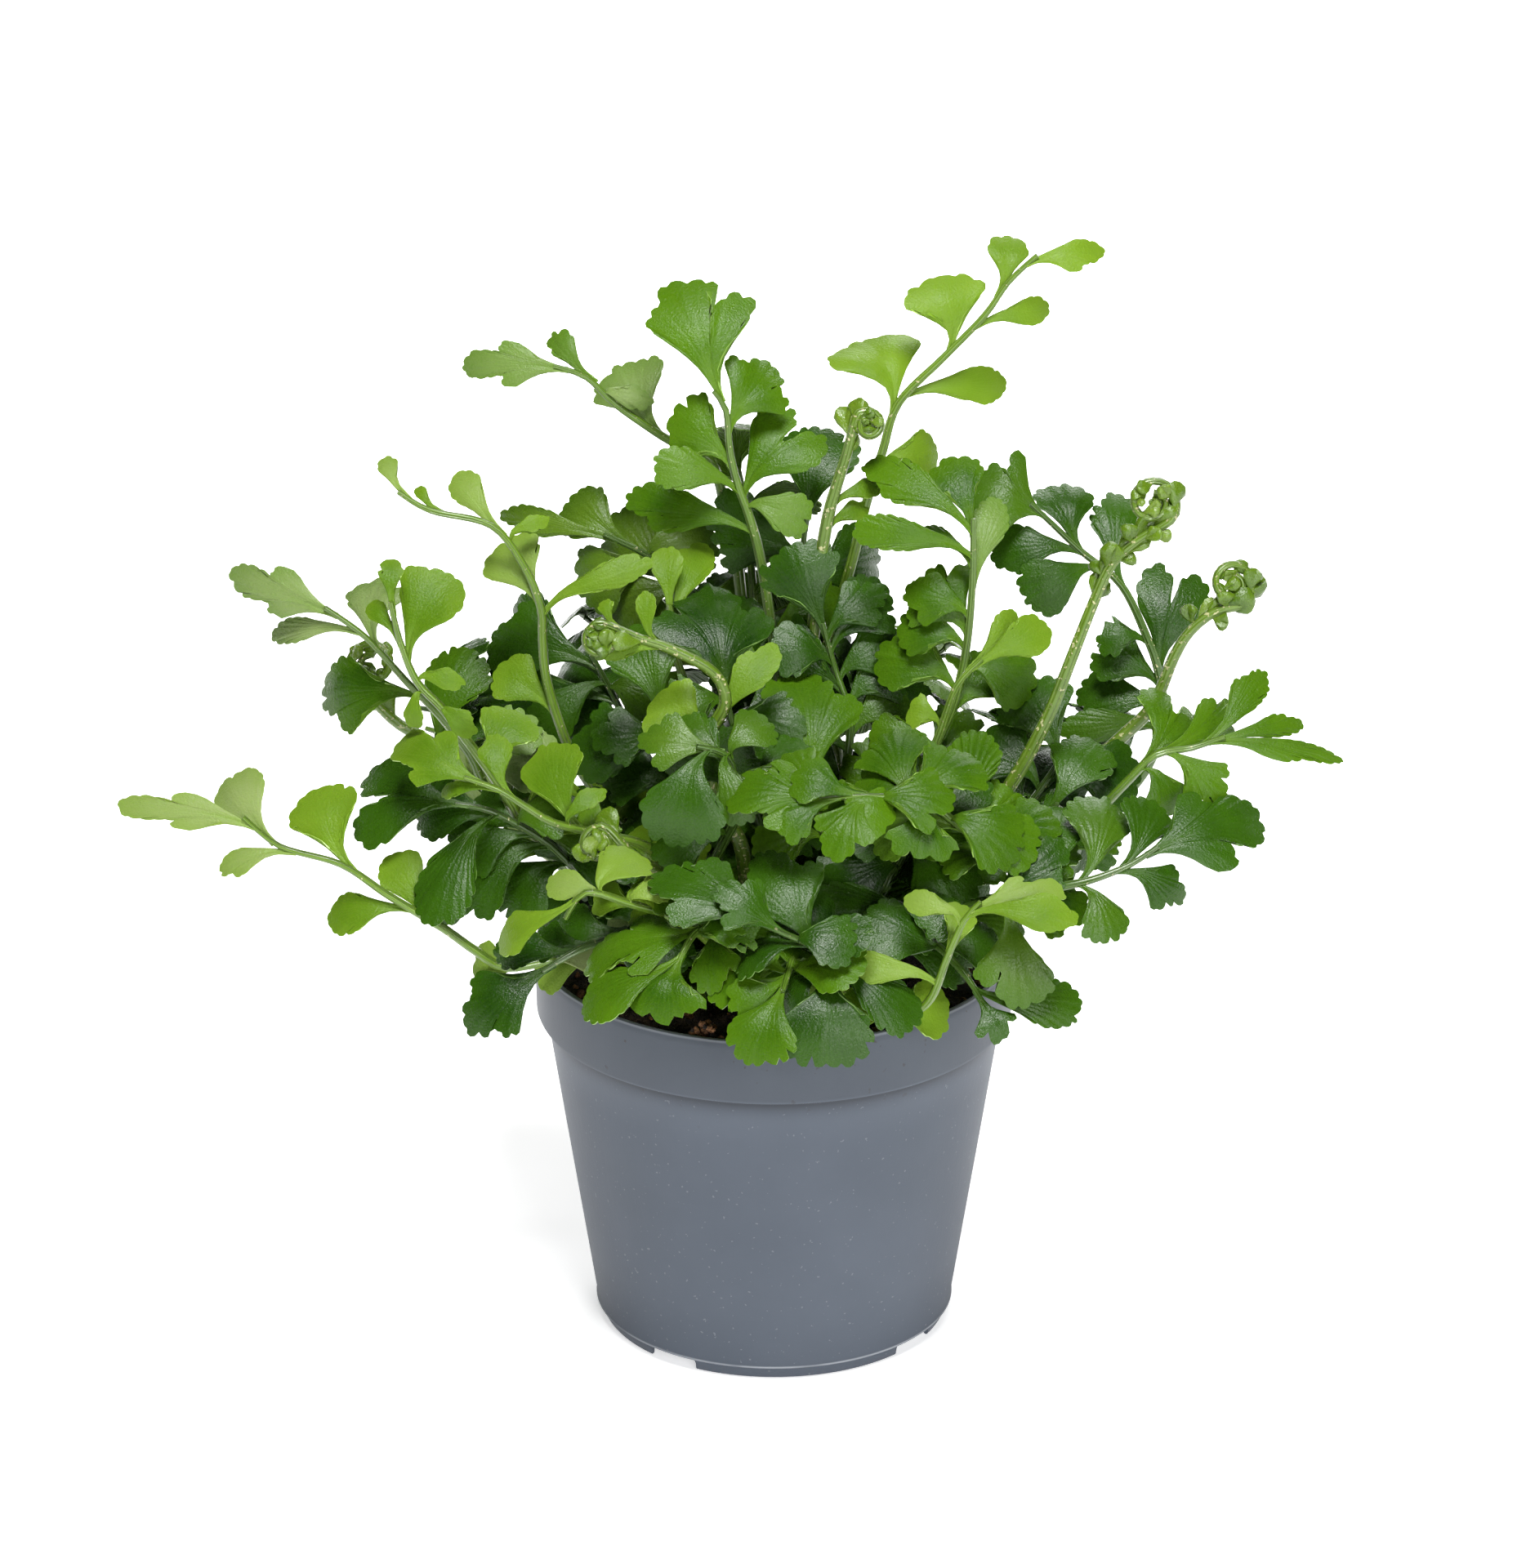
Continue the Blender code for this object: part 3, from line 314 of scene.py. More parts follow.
# Plastic and peat
PLASTIC_GREYS = (0.072, 0.085, 0.107), (0.085, 0.099, 0.124)
# The rim band's greys, darker than the body's: painted shade of the foliage above it
BAND_SHADE_GREYS = (0.062, 0.072, 0.089), (0.073, 0.084, 0.102)
SPECK_GREY = (0.26, 0.28, 0.31)
SEAM_GREY = (0.36, 0.38, 0.41)
# Painted shade in a soft line under the rim band's overhang
SHADE_GREY = (0.02, 0.022, 0.026)
# Painted highlight along the rim's top edge
LIP_HIGHLIGHT_GREY = (0.3, 0.32, 0.35)
DIRT_BROWN = (0.04, 0.03, 0.025)
PLASTIC_ROUGHNESS = (0.42, 0.5)
PLASTIC_GLOSS = 0.16
PLASTIC_RELIEF = 0.00004
SCUFF_STRETCH = (1.0, 1.0, 0.08)
DARK_PEAT = (0.012, 0.008, 0.005), (0.075, 0.042, 0.022)
RUSTY_PEAT = (0.1, 0.042, 0.015), (0.46, 0.22, 0.085)
PEAT_ROUGHNESS = 0.92
PEAT_RELIEF = 0.0012


def drawn(*points):
    """A leaf's edge through points (across, along) in hundredths of its width and length."""
    return tuple((across / 100, along / 100) for across, along in points)


# A leaf's edge in the solids, from the left end of its stalk round to the right one
FAN = drawn((-50, 54), (-38, 88), (-20, 85), (-2, 100), (16, 87), (36, 90), (50, 56))
SLIT = drawn((-44, 42), (-50, 76), (-26, 97), (-8, 88), (-1, 52), (10, 92), (34, 96), (50, 70), (38, 36))
WING = drawn((-34, 45), (-28, 82), (-8, 100), (10, 88), (32, 86), (44, 62), (72, 46), (60, 20))
SPOON = drawn((-46, 52), (-44, 84), (-12, 100), (24, 95), (50, 70), (36, 36))
LOBED = drawn((-46, 22), (-50, 46), (-28, 54), (-26, 84), (-8, 100), (8, 92), (26, 90), (22, 56), (44, 56),
              (46, 28))
HAND = drawn((-50, 34), (-44, 60), (-24, 58), (-28, 92), (-10, 98), (-2, 70), (8, 100), (28, 90), (24, 62),
             (46, 70), (50, 42))
BEAD = "bead"

# The same edges as they grow, on a narrow foot. A leaf takes one of the edges of its kind
FINE_EDGES = {
    FAN: (
        drawn((-5, 10), (-10, 22), (-19, 35), (-33, 46), (-46, 55), (-53, 65), (-52, 76), (-43, 86),
              (-28, 94), (-10, 99), (8, 100), (26, 95), (41, 87), (50, 77), (51, 66), (43, 55), (30, 45),
              (17, 33), (10, 21), (5, 10)),
        drawn((-5, 10), (-10, 22), (-20, 34), (-34, 43), (-47, 51), (-54, 61), (-50, 71), (-38, 77),
              (-26, 78), (-24, 87), (-12, 97), (6, 101), (25, 98), (42, 89), (52, 77), (50, 64), (40, 52),
              (28, 43), (17, 33), (10, 21), (5, 10)),
        drawn((-5, 10), (-11, 22), (-24, 33), (-41, 41), (-53, 51), (-53, 62), (-42, 70), (-29, 71),
              (-27, 82), (-20, 93), (-6, 100), (10, 100), (23, 93), (29, 82), (31, 72), (43, 70), (53, 61),
              (52, 50), (40, 40), (22, 31), (10, 20), (5, 10)),
        drawn((-5, 10), (-12, 21), (-24, 33), (-38, 45), (-48, 58), (-50, 70), (-45, 82), (-34, 91),
              (-18, 97), (0, 100), (18, 98), (34, 92), (45, 83), (50, 71), (47, 58), (37, 45), (23, 33),
              (11, 21), (5, 10)),
    ),
    SLIT: (
        drawn((-5, 10), (-11, 20), (-24, 32), (-42, 44), (-53, 60), (-52, 77), (-40, 91), (-25, 97),
              (-12, 92), (-6, 80), (-3, 68), (-1, 60), (2, 69), (7, 83), (15, 94), (28, 99), (42, 91),
              (51, 76), (50, 58), (37, 42), (22, 30), (10, 19), (5, 10)),
    ),
    WING: (
        drawn((-5, 10), (-11, 22), (-20, 37), (-27, 54), (-26, 70), (-18, 86), (-6, 98), (6, 99), (13, 92),
              (22, 90), (31, 81), (36, 69), (40, 59), (50, 54), (56, 43), (52, 31), (40, 22), (24, 15),
              (12, 8), (6, 3)),
    ),
    SPOON: (
        drawn((-6, 12), (-14, 26), (-28, 40), (-43, 55), (-49, 72), (-42, 87), (-25, 96), (-4, 101),
              (18, 98), (38, 88), (50, 72), (44, 54), (30, 38), (15, 25), (6, 12)),
        drawn((-6, 12), (-16, 26), (-32, 39), (-47, 52), (-51, 65), (-42, 76), (-30, 79), (-24, 90),
              (-8, 100), (12, 100), (32, 93), (47, 80), (50, 66), (42, 50), (28, 36), (14, 24), (6, 12)),
    ),
    LOBED: (
        drawn((-6, 6), (-14, 14), (-32, 21), (-48, 30), (-53, 40), (-46, 49), (-35, 51), (-27, 49),
              (-29, 61), (-33, 75), (-29, 88), (-17, 96), (-2, 100), (14, 98), (27, 90), (33, 76), (29, 62),
              (25, 52), (35, 55), (47, 52), (54, 42), (49, 30), (32, 20), (13, 13), (6, 6)),
    ),
    HAND: (
        drawn((-6, 10), (-14, 22), (-28, 36), (-44, 50), (-54, 62), (-55, 72), (-46, 78), (-38, 77),
              (-41, 88), (-38, 97), (-22, 102), (-2, 100), (14, 95), (20, 87), (14, 76), (10, 67), (18, 73),
              (31, 79), (46, 77), (55, 67), (50, 55), (36, 43), (22, 32), (11, 20), (5, 10)),
        drawn((-6, 10), (-13, 18), (-30, 26), (-47, 34), (-55, 46), (-50, 59), (-37, 65), (-27, 61),
              (-30, 74), (-33, 87), (-24, 97), (-8, 101), (8, 101), (24, 96), (32, 85), (29, 73), (26, 64),
              (38, 69), (51, 63), (55, 50), (49, 37), (33, 27), (14, 18), (6, 10)),
    ),
}

# By age: which of the fan's edges its leaves take, by number
FAN_KINDS = {"young": (0, 0, 3), "fresh": (0, 1, 3, 3, 2), "mature": (0, 1, 3, 3, 2)}

# By age: how much longer and wider than its table size a leaf grew, and what the fine blade takes of that
TONES = {"young": (1.0, 1.16), "fresh": (1.05, 1.26), "mature": (1.12, 1.4)}
LEAF_GAIN = {"young": (1.0, 0.92), "fresh": (0.97, 0.9), "mature": (0.96, 0.88)}

# Leaflets added low on the stems, by age: the first one's place, the step, their length and highest place
MORE_LEAFLETS = {"young": (0.4, 0.45, 15, 146.0), "fresh": (0.4, 0.32, 18, 190.0),
                 "mature": (0.3, 0.26, 19, 200.0)}
MORE_REACH = 76.0
MORE_END = 0.3
MORE_LENGTHS = (0.8, 1.2)
MORE_WIDTHS = (0.8, 1.0)
MORE_STEPS = (0.85, 1.15)

# Where an added leaflet may point: side of the stem, least and most degrees from up
MORE_BEARINGS = ((1, 45, 115), (1, 15, 60), (-1, 45, 115), (-1, 15, 60), (1, 110, 165))

# Leaflets added one by one: place on the stem, bearing, length, width
PLACED_LEAFLETS = {"left_crosier": ((2.35, 14, 26, 20),), "left_back": ((2.75, -76, 33, 20),),
                   "right_arch": ((6.25, -88, 21, 14), (3.4, -60, 18, 15)),
                   "right_edge": ((3.6, 150, 18, 14),),
                   "left_dark": ((1.65, -142, 21, 18), (1.3, -160, 18, 15)),
                   "front_left": ((1.9, 172, 17, 15),), "right_light": ((3.4, -75, 17, 14),)}
PLACED_SWING = 12

# The shares of its turn that a leaf may keep when it goes back to where it grew
BACK_SHARES = (0.0, 0.3, 0.6)
# Each frond: name, tone, the way it faces (turn about Z, lean up), the points of its stem, and its leaves as
# (place along the stem's points, outline, bearing clockwise from up, length, width)
FRONDS = (
    ("far_left", "young", -15, 38,
     ((-50, -38, 114), (-66, -42, 113), (-81, -42, 123), (-96, -42, 133), (-107, -40, 140), (-122, -38, 144),
      (-131, -36, 151)),
     ((7.0, LOBED, -90, 42, 20), (5.0, FAN, -30, 22, 21), (6.4, FAN, -40, 19, 14), (6.0, SPOON, -115, 17, 7),
      (3.8, FAN, -105, 20, 10), (3.3, FAN, -40, 21, 11))),
    ("left_middle", "fresh", -20, 30,
     ((-53, -5, 124), (-69, -8, 141), (-76, -10, 157), (-83, -12, 168), (-91, -12, 177), (-101, -12, 189),
      (-111, -12, 197)),
     ((7.0, LOBED, -80, 29, 17), (6.0, FAN, -10, 17, 15), (6.4, SPOON, -100, 23, 6), (4.9, FAN, -100, 22, 20),
      (3.0, FAN, 50, 18, 12))),
    ("bright_left", "young", -15, 35,
     ((-61, -22, 141), (-70, -25, 158), (-82, -28, 177), (-88, -28, 184), (-92, -28, 195), (-94, -28, 205)),
     ((6.0, SPOON, -10, 11, 6), (4.8, FAN, 20, 22, 17), (5.2, SPOON, -50, 11, 5), (4.3, SPOON, 95, 13, 5),
      (4.0, SPOON, -175, 11, 5), (3.3, SPOON, 125, 12, 6), (2.2, FAN, 20, 16, 15))),
    ("left_low", "young", -10, 40,
     ((-30, -32, 140), (-42, -38, 147), (-54, -42, 152), (-68, -44, 162), (-76, -44, 165)),
     ((5.0, LOBED, -60, 24, 15), (4.0, SPOON, -15, 15, 8), (2.7, FAN, -25, 23, 15), (4.3, SPOON, -95, 13, 4),
      (3.0, SPOON, 45, 14, 5))),
    ("upper_left", "young", -10, 28,
     ((-38, 0, 133), (-50, 0, 151), (-57, 0, 174), (-58, 0, 192), (-62, 0, 203), (-70, 0, 214), (-85, 0, 218),
      (-93, 0, 223)),
     ((8.0, SPOON, -30, 11, 5), (6.0, SPOON, -40, 18, 8), (5.8, SPOON, 65, 12, 4), (4.3, FAN, -35, 17, 15),
      (4.2, SPOON, 65, 29, 7), (7.0, SPOON, -40, 8, 3), (2.7, FAN, -60, 17, 12))),
    ("top_left", "fresh", -8, 30,
     ((-9, 30, 190), (-16, 34, 218), (-26, 35, 223), (-32, 35, 227), (-40, 35, 233), (-47, 35, 240),
      (-55, 35, 243)),
     ((7.0, LOBED, -90, 24, 13), (6.1, SPOON, -40, 14, 6), (3.8, FAN, -30, 19, 17), (5.7, SPOON, 105, 14, 5),
      (2.4, FAN, -125, 12, 8))),
    ("top_middle", "fresh", 0, 30,
     ((3, 10, 154), (-3, 12, 198), (-6, 12, 211), (-9, 12, 220), (-11, 12, 229), (-12, 12, 240),
      (-15, 12, 245)),
     ((7.0, HAND, -10, 27, 26), (5.8, FAN, 40, 19, 16), (4.9, FAN, -55, 18, 16), (4.2, SPOON, -80, 21, 10),
      (3.7, FAN, 110, 18, 10), (3.0, SPOON, -80, 32, 10), (4.0, SLIT, 45, 24, 17))),
    ("top_right", "young", 10, 32,
     ((13, 20, 172), (20, 24, 197), (23, 25, 210), (27, 25, 224), (31, 25, 237), (42, 25, 249), (52, 25, 260),
      (58, 25, 269), (65, 25, 276)),
     ((9.0, WING, 85, 18, 12), (5.1, FAN, -15, 20, 23), (6.4, FAN, -10, 17, 19), (7.9, FAN, 10, 13, 10),
      (5.4, SPOON, 90, 26, 9), (7.0, SPOON, 85, 18, 7), (4.0, FAN, 90, 16, 10))),
    ("right_light", "fresh", 5, 30,
     ((34, -8, 144), (44, -8, 168), (48, -8, 188), (49, -8, 206), (49, -8, 219)),
     ((5.0, SPOON, -55, 31, 10), (4.9, FAN, -15, 19, 12), (3.9, SPOON, 20, 21, 8), (4.3, SPOON, -50, 15, 4),
      (3.2, FAN, -40, 17, 17), (4.5, SPOON, -80, 29, 8))),
    ("right_arch", "mature", 12, 30,
     ((80, 14, 125), (94, 18, 141), (98, 20, 158), (94, 20, 175), (87, 20, 190), (77, 20, 199), (70, 20, 206),
      (64, 20, 212)),
     ((7.8, LOBED, -65, 15, 20), (6.4, FAN, 0, 15, 13), (5.3, SPOON, 10, 21, 10), (5.8, FAN, -115, 18, 12),
      (4.2, FAN, -90, 11, 8), (3.7, SLIT, 20, 23, 15), (3.1, FAN, -75, 20, 12), (2.8, SPOON, -90, 23, 7))),
    ("big_crosier", "young", 5, 25,
     ((44, -20, 131), (53, -24, 146), (61, -24, 159), (68, -24, 174), (74, -24, 191), (79, -22, 204),
      (83, -22, 213), (89, -22, 219), (97, -22, 224)),
     ((6.0, BEAD, 60, 6, 4), (6.6, BEAD, -50, 5, 4), (7.2, BEAD, 100, 5, 4), (7.9, BEAD, -40, 6, 4),
      (8.5, BEAD, 130, 5, 3)), 6.2, 1),
    ("right_crosier", "young", 15, 25,
     ((61, -8, 132), (75, -10, 150), (86, -10, 161), (94, -10, 170), (99, -10, 183), (103, -10, 190),
      (109, -10, 195), (116, -10, 197)),
     ((6.3, BEAD, -45, 6, 4), (6.9, BEAD, 140, 5, 4), (7.5, BEAD, -30, 5, 4)), 5.8, 1),
    ("right_low", "mature", 15, 45,
     ((52, -50, 134), (70, -56, 141), (78, -56, 143), (87, -54, 146), (94, -52, 150)),
     ((5.0, LOBED, 75, 29, 18), (2.0, FAN, 5, 24, 20), (3.0, FAN, 20, 22, 13), (4.1, FAN, 30, 18, 11),
      (4.1, FAN, 125, 16, 9), (3.0, FAN, 170, 15, 10))),
    ("right_edge", "fresh", 18, 40,
     ((68, -30, 138), (81, -32, 152), (94, -32, 166), (103, -30, 167), (111, -30, 170)),
     ((5.0, WING, 105, 32, 9), (4.7, SPOON, 45, 30, 9), (3.0, SLIT, 40, 21, 17), (3.5, FAN, 65, 29, 10),
      (4.9, SPOON, 85, 23, 5), (3.0, FAN, 160, 14, 10))),
    ("middle_crosier", "young", -5, 28,
     ((-8, -26, 138), (-16, -30, 158), (-16, -32, 171), (-12, -32, 180), (-15, -32, 188), (-25, -32, 194),
      (-33, -32, 197), (-42, -32, 201)),
     ((6.8, SPOON, -5, 12, 5), (7.8, SPOON, -20, 7, 4), (6.5, SPOON, -100, 15, 5), (3.0, FAN, -55, 17, 16),
      (3.6, SPOON, 35, 22, 9)), 4.2, 1),
    ("middle_gloss", "mature", 0, 35,
     ((-3, -16, 138), (-9, -16, 161), (-13, -16, 180)),
     ((3.0, HAND, -5, 27, 24), (2.3, FAN, 55, 17, 10))),
    ("middle_pair", "mature", 0, 32,
     ((13, -6, 127), (17, -6, 147), (19, -4, 163), (15, 0, 176), (12, 0, 188)),
     ((3.0, FAN, 30, 27, 20), (5.0, FAN, -20, 20, 16), (4.9, FAN, 55, 17, 10), (4.5, FAN, -80, 13, 9))),
    ("middle_fan", "fresh", 0, 35,
     ((13, -26, 136), (9, -28, 158)),
     ((2.0, FAN, 0, 29, 21), (1.5, FAN, 50, 16, 10))),
    ("middle_low", "fresh", -5, 50,
     ((57, -42, 132), (57, -50, 147), (47, -54, 155), (37, -57, 164), (23, -60, 167), (11, -60, 166)),
     ((6.0, LOBED, -85, 23, 17), (6.0, FAN, -40, 19, 13), (6.0, FAN, -130, 14, 9), (4.4, FAN, -20, 23, 16),
      (5.2, FAN, -160, 17, 13), (4.1, FAN, 180, 14, 15))),
    ("ridged", "fresh", 5, 35,
     ((38, -34, 131), (44, -38, 144), (47, -40, 152)),
     ((3.0, SPOON, 10, 24, 12), (2.3, FAN, -10, 27, 12), (1.7, SPOON, -10, 38, 8), (2.0, SPOON, 60, 20, 7))),
    ("light_fan", "young", 5, 30,
     ((34, -20, 147), (41, -24, 169), (45, -26, 182), (51, -26, 189)),
     ((4.0, FAN, 65, 22, 13), (3.8, SPOON, 40, 24, 7), (2.3, FAN, -70, 9, 8))),
    ("right_fan", "mature", 10, 38,
     ((57, -24, 136), (70, -30, 152)),
     ((2.0, FAN, 35, 27, 17), (1.7, SPOON, 25, 22, 6))),
    ("low_left_twist", "young", -15, 50,
     ((-23, -58, 133), (-35, -64, 140), (-46, -66, 144), (-51, -66, 137)),
     ((3.0, FAN, 30, 18, 13), (2.6, FAN, -80, 16, 8), (3.7, FAN, -110, 22, 10), (2.3, FAN, 60, 13, 8))),
    ("front_right", "young", 5, 45,
     ((23, -62, 111), (32, -70, 113), (38, -74, 119), (42, -76, 131), (46, -76, 141), (50, -76, 146)),
     ((6.0, LOBED, 80, 24, 10), (5.3, FAN, -70, 16, 6), (5.7, FAN, 100, 29, 9), (4.1, SPOON, 20, 15, 8),
      (3.7, FAN, -80, 27, 8))),
    ("front_gloss", "mature", 10, 50,
     ((41, -50, 131), (54, -60, 139), (58, -64, 138)),
     ((3.0, FAN, -175, 25, 19), (1.0, FAN, -85, 30, 12), (2.2, FAN, 55, 20, 13))),
    ("front_fork", "mature", 15, 50,
     ((35, -56, 127), (45, -66, 124), (51, -72, 117)),
     ((3.0, FAN, 165, 10, 8), (3.0, FAN, 100, 23, 10))),
    ("front_left", "fresh", -15, 55,
     ((-7, -50, 129), (-15, -64, 134), (-20, -72, 135), (-24, -78, 129)),
     ((3.0, LOBED, -100, 31, 19), (4.0, FAN, -120, 29, 10), (4.0, FAN, -175, 16, 12))),
    ("front_middle", "fresh", 0, 58,
     ((7, -50, 129), (4, -68, 126), (2, -80, 124)),
     ((2.6, FAN, -35, 27, 13), (2.7, FAN, -95, 18, 9), (3.0, FAN, -155, 19, 16), (2.3, FAN, 10, 15, 18))),
    ("front_light", "mature", 5, 55,
     ((13, -50, 129), (14, -66, 128), (13, -76, 127)),
     ((3.0, FAN, -175, 24, 20), (2.4, FAN, 130, 24, 11))),
    ("front_low_left", "mature", -20, 50,
     ((-34, -46, 125), (-48, -58, 125), (-57, -62, 121)),
     ((3.0, FAN, -135, 22, 14), (2.3, FAN, -90, 19, 9))),
    ("left_dark", "mature", -20, 40,
     ((-46, -22, 127), (-58, -26, 141), (-70, -28, 149), (-79, -28, 151)),
     ((4.0, SLIT, -95, 25, 19), (3.2, FAN, -170, 30, 13), (2.1, FAN, -135, 30, 15),
      (2.4, FAN, -120, 18, 12))),
    ("left_back", "mature", -15, 32,
     ((-30, 14, 134), (-38, 16, 156), (-46, 18, 172)),
     ((3.0, FAN, -85, 27, 17), (2.4, FAN, -95, 38, 12), (2.7, FAN, -140, 22, 10))),
    ("left_crosier", "fresh", -10, 25,
     ((-63, 8, 130), (-80, 10, 147), (-96, 10, 158), (-106, 10, 170)),
     ((3.8, BEAD, 60, 5, 4),), 5.8, -1),
    ("back_left", "mature", -5, 32,
     ((-14, 34, 143), (-17, 38, 171), (-30, 42, 188), (-43, 42, 195)),
     ((4.0, SPOON, -80, 28, 6), (2.6, FAN, -50, 25, 14), (2.1, FAN, 30, 18, 10))),
    ("young_pair", "young", 0, 30,
     ((-16, 0, 154), (-25, 0, 181), (-26, 0, 193)),
     ((3.0, SPOON, -5, 15, 8), (2.7, SPOON, 25, 25, 9))),
    ("middle_down", "mature", -5, 45,
     ((-8, -40, 156), (-12, -46, 172), (-19, -48, 175)),
     ((3.0, FAN, -170, 22, 17), (2.4, FAN, 155, 18, 9))),
    ("low_gloss", "mature", 0, 50,
     ((13, -46, 123), (8, -58, 134), (-3, -60, 140)),
     ((3.0, FAN, -60, 29, 17), (2.0, FAN, -25, 25, 17))),
    ("low_crosier", "young", -8, 35,
     ((-21, -44, 135), (-35, -48, 146), (-41, -48, 153)),
     ((2.5, BEAD, -60, 5, 3),), 4.2, 1),
    ("tiny_crosier", "young", 0, 25,
     ((9, 4, 174), (11, 4, 199), (14, 4, 218), (18, 4, 232), (20, 4, 241)),
     ((4.4, SPOON, 35, 9, 4), (3.2, SPOON, 70, 13, 5), (2.8, SPOON, 65, 11, 5)), 3.6, -1),
    ("centre_left", "mature", -8, 35,
     ((-16, -22, 128), (-24, -26, 150), (-28, -26, 172)),
     ((3.0, FAN, -20, 23, 16), (2.6, FAN, -95, 22, 15), (2.2, FAN, 70, 21, 15), (1.6, FAN, -110, 20, 14))),
    ("centre_right", "mature", 5, 40,
     ((26, -30, 128), (32, -38, 142), (34, -42, 150)),
     ((3.0, FAN, 60, 21, 16), (2.5, FAN, 150, 20, 15), (2.0, FAN, -110, 20, 14), (1.5, FAN, 100, 20, 14))),
    ("centre_back", "mature", 0, 32,
     ((4, 14, 150), (6, 20, 185), (8, 22, 208)),
     ((3.0, FAN, 10, 23, 17), (2.6, FAN, -75, 23, 16), (2.3, FAN, 75, 23, 16), (1.8, FAN, -100, 22, 15),
      (1.6, FAN, 95, 22, 15))),
    ("left_fill", "mature", -15, 42,
     ((-34, -30, 122), (-44, -40, 132)),
     ((2.0, FAN, -30, 21, 16), (1.6, FAN, -110, 21, 15), (1.8, FAN, 80, 20, 15))),
    ("right_fill", "mature", 12, 38,
     ((52, -14, 128), (64, -18, 146), (72, -20, 160)),
     ((3.0, FAN, -20, 21, 16), (2.2, FAN, -95, 20, 15), (1.8, FAN, 120, 20, 14))),
)

# The far side of the crown, as (the way a frond leans out, how far, how high, tone), with leaves in turn on
# both sides
REAR_FRONDS = (
    (180, 74, 176, "mature"), (150, 92, 150, "fresh"), (212, 96, 158, "mature"), (128, 104, 128, "mature"),
    (236, 108, 134, "fresh"), (190, 56, 212, "fresh"), (104, 98, 150, "mature"), (258, 92, 152, "mature"),
)
REAR_LEAVES = ((1.8, 78, 19), (2.3, -78, 20), (2.8, 72, 20), (3.2, -68, 19), (3.6, 60, 15))
REAR_TIP = 24
REAR_WIDTH = 0.8
REAR_ARCH = ((0.32, 0.42), (0.52, 0.72), (0.74, 0.93), (1.0, 1.0))
REAR_LEAN, TALL_LEAN, TALL = 62, 40, 190

# What the solids tried in turn for a stem or a leaf, until it was clear of every other frond
KNEE_SHIFTS = ((0, 0), (5, 0), (-5, 0), (0, 6), (0, -6), (10, 0), (-10, 0), (6, 8), (-6, 8), (15, 0),
               (-15, 0))
DEPTH_SHIFTS = (0, 3, -3, 6, -6, 9, -9, 12, -12, 16, -16)
LEAF_TRIES = ((0, 0, 1.0), (18, 0, 1.0), (-18, 0, 1.0), (0, 18, 1.0), (0, -18, 1.0), (30, 15, 1.0),
              (-30, 15, 1.0), (30, -15, 1.0), (-30, -15, 1.0), (0, 34, 1.0), (0, -34, 1.0), (50, 0, 1.0),
              (-50, 0, 1.0), (0, 0, 0.84), (20, 15, 0.84), (-20, -15, 0.84), (30, -20, 0.84), (-30, 20, 0.84),
              (0, 40, 0.84), (0, -40, 0.84), (0, 0, 0.66), (30, 20, 0.66), (-30, -20, 0.66), (0, 50, 0.66))

# The view, the floor and the light
VIEW_AIM = (-1.7, 0.0, 144.4)
VIEW_DISTANCE = 2200.0
VIEW_TILT = 23.3
VIEW_LENS = 201.5
VIEW_SENSOR = 36
WORLD_LIGHT = 0.04
FLOOR_SIZE = 12
FLOOR_DROP = 0.0002
FLOOR_ROUGHNESS = 0.9
FLOOR_GREYS = (0.86, 0.86, 0.86), (0.88, 0.88, 0.88)
# The floor glows though it is no lamp: painted light that pales its shadows, weaker near the pot and stronger
# further out, between the two distances in metres
FLOOR_GLOW = (0.58, 0.95)
FLOOR_REACH = (0.25, 1.1)

# Each light: name, place, aim, size, power, spread
LIGHTS = (
    ("top softbox", (0.02, -0.6, 1.6), (0, 0, 0.1), (0.56, 0.5), 40, 180),
    ("front softbox", (0.7, -2.0, 0.8), (0, 0, 0.1), (0.7, 0.9), 27, 180),
    ("back softbox", (0.4, 1.7, 1.2), (0, 0, 0.16), (1.0, 0.6), 20, 180),
    ("floor softbox", (0.0, 1.4, 1.9), (0, 1.4001, 0), (3.4, 1.4), 40, 50),
)


# Shapes shared with the solids

def facing(turn, lean):
    """The way a frond faces and the two directions in its plane, across and up."""
    turn, lean = math.radians(turn), math.radians(lean)
    normal = Vector((math.sin(turn) * math.cos(lean), -math.cos(turn) * math.cos(lean), math.sin(lean)))
    across = Vector((math.cos(turn), math.sin(turn), 0))
    return normal, across, normal.cross(across)


def spline(points, at):
    """A point on the smooth curve through the points, with at = 1 on the first."""
    k = min(max(int(at - 1), 0), len(points) - 2)
    t = at - 1 - k
    a, b, c, d = (points[min(max(k + j, 0), len(points) - 1)] for j in (-1, 0, 1, 2))
    bend = (2 * a - 5 * b + 4 * c - d) * t * t + (3 * b - a - 3 * c + d) * t ** 3
    return 0.5 * (2 * b + (c - a) * t + bend)


def stem_line(root, points, knee_shift, depth_shift):
    """The stem's line as (place, point): straight out of its hole, over a knee and along its points."""
    free = [Vector(p) + Vector((0, depth_shift * min(1, (k + 1) / 2), 0)) for k, p in enumerate(points)]
    foot = Vector((root.x, root.y, STEM_FREE))
    run = free[0] - foot
    level = Vector((run.x, run.y, 0))
    sideways = Vector((-run.y, run.x, 0)).normalized() if level.length > 1 else Vector((1, 0, 0))
    aside, raised = knee_shift
    knee = foot + run * KNEE_PLACE + sideways * aside - level * KNEE_BACK + Vector((0, 0, raised))
    line = [(-1, Vector((root.x, root.y, STEM_SINK + SEAT_GAP))), (0, foot), (KNEE_PLACE, knee)]
    for k in range(len(free)):
        line.append((k + 1, free[k]))
        if k + 1 < len(free) and (free[k + 1] - free[k]).length > LONG_SPAN:
            line.append((k + 1.5, spline(free, k + 1.5)))
    return line


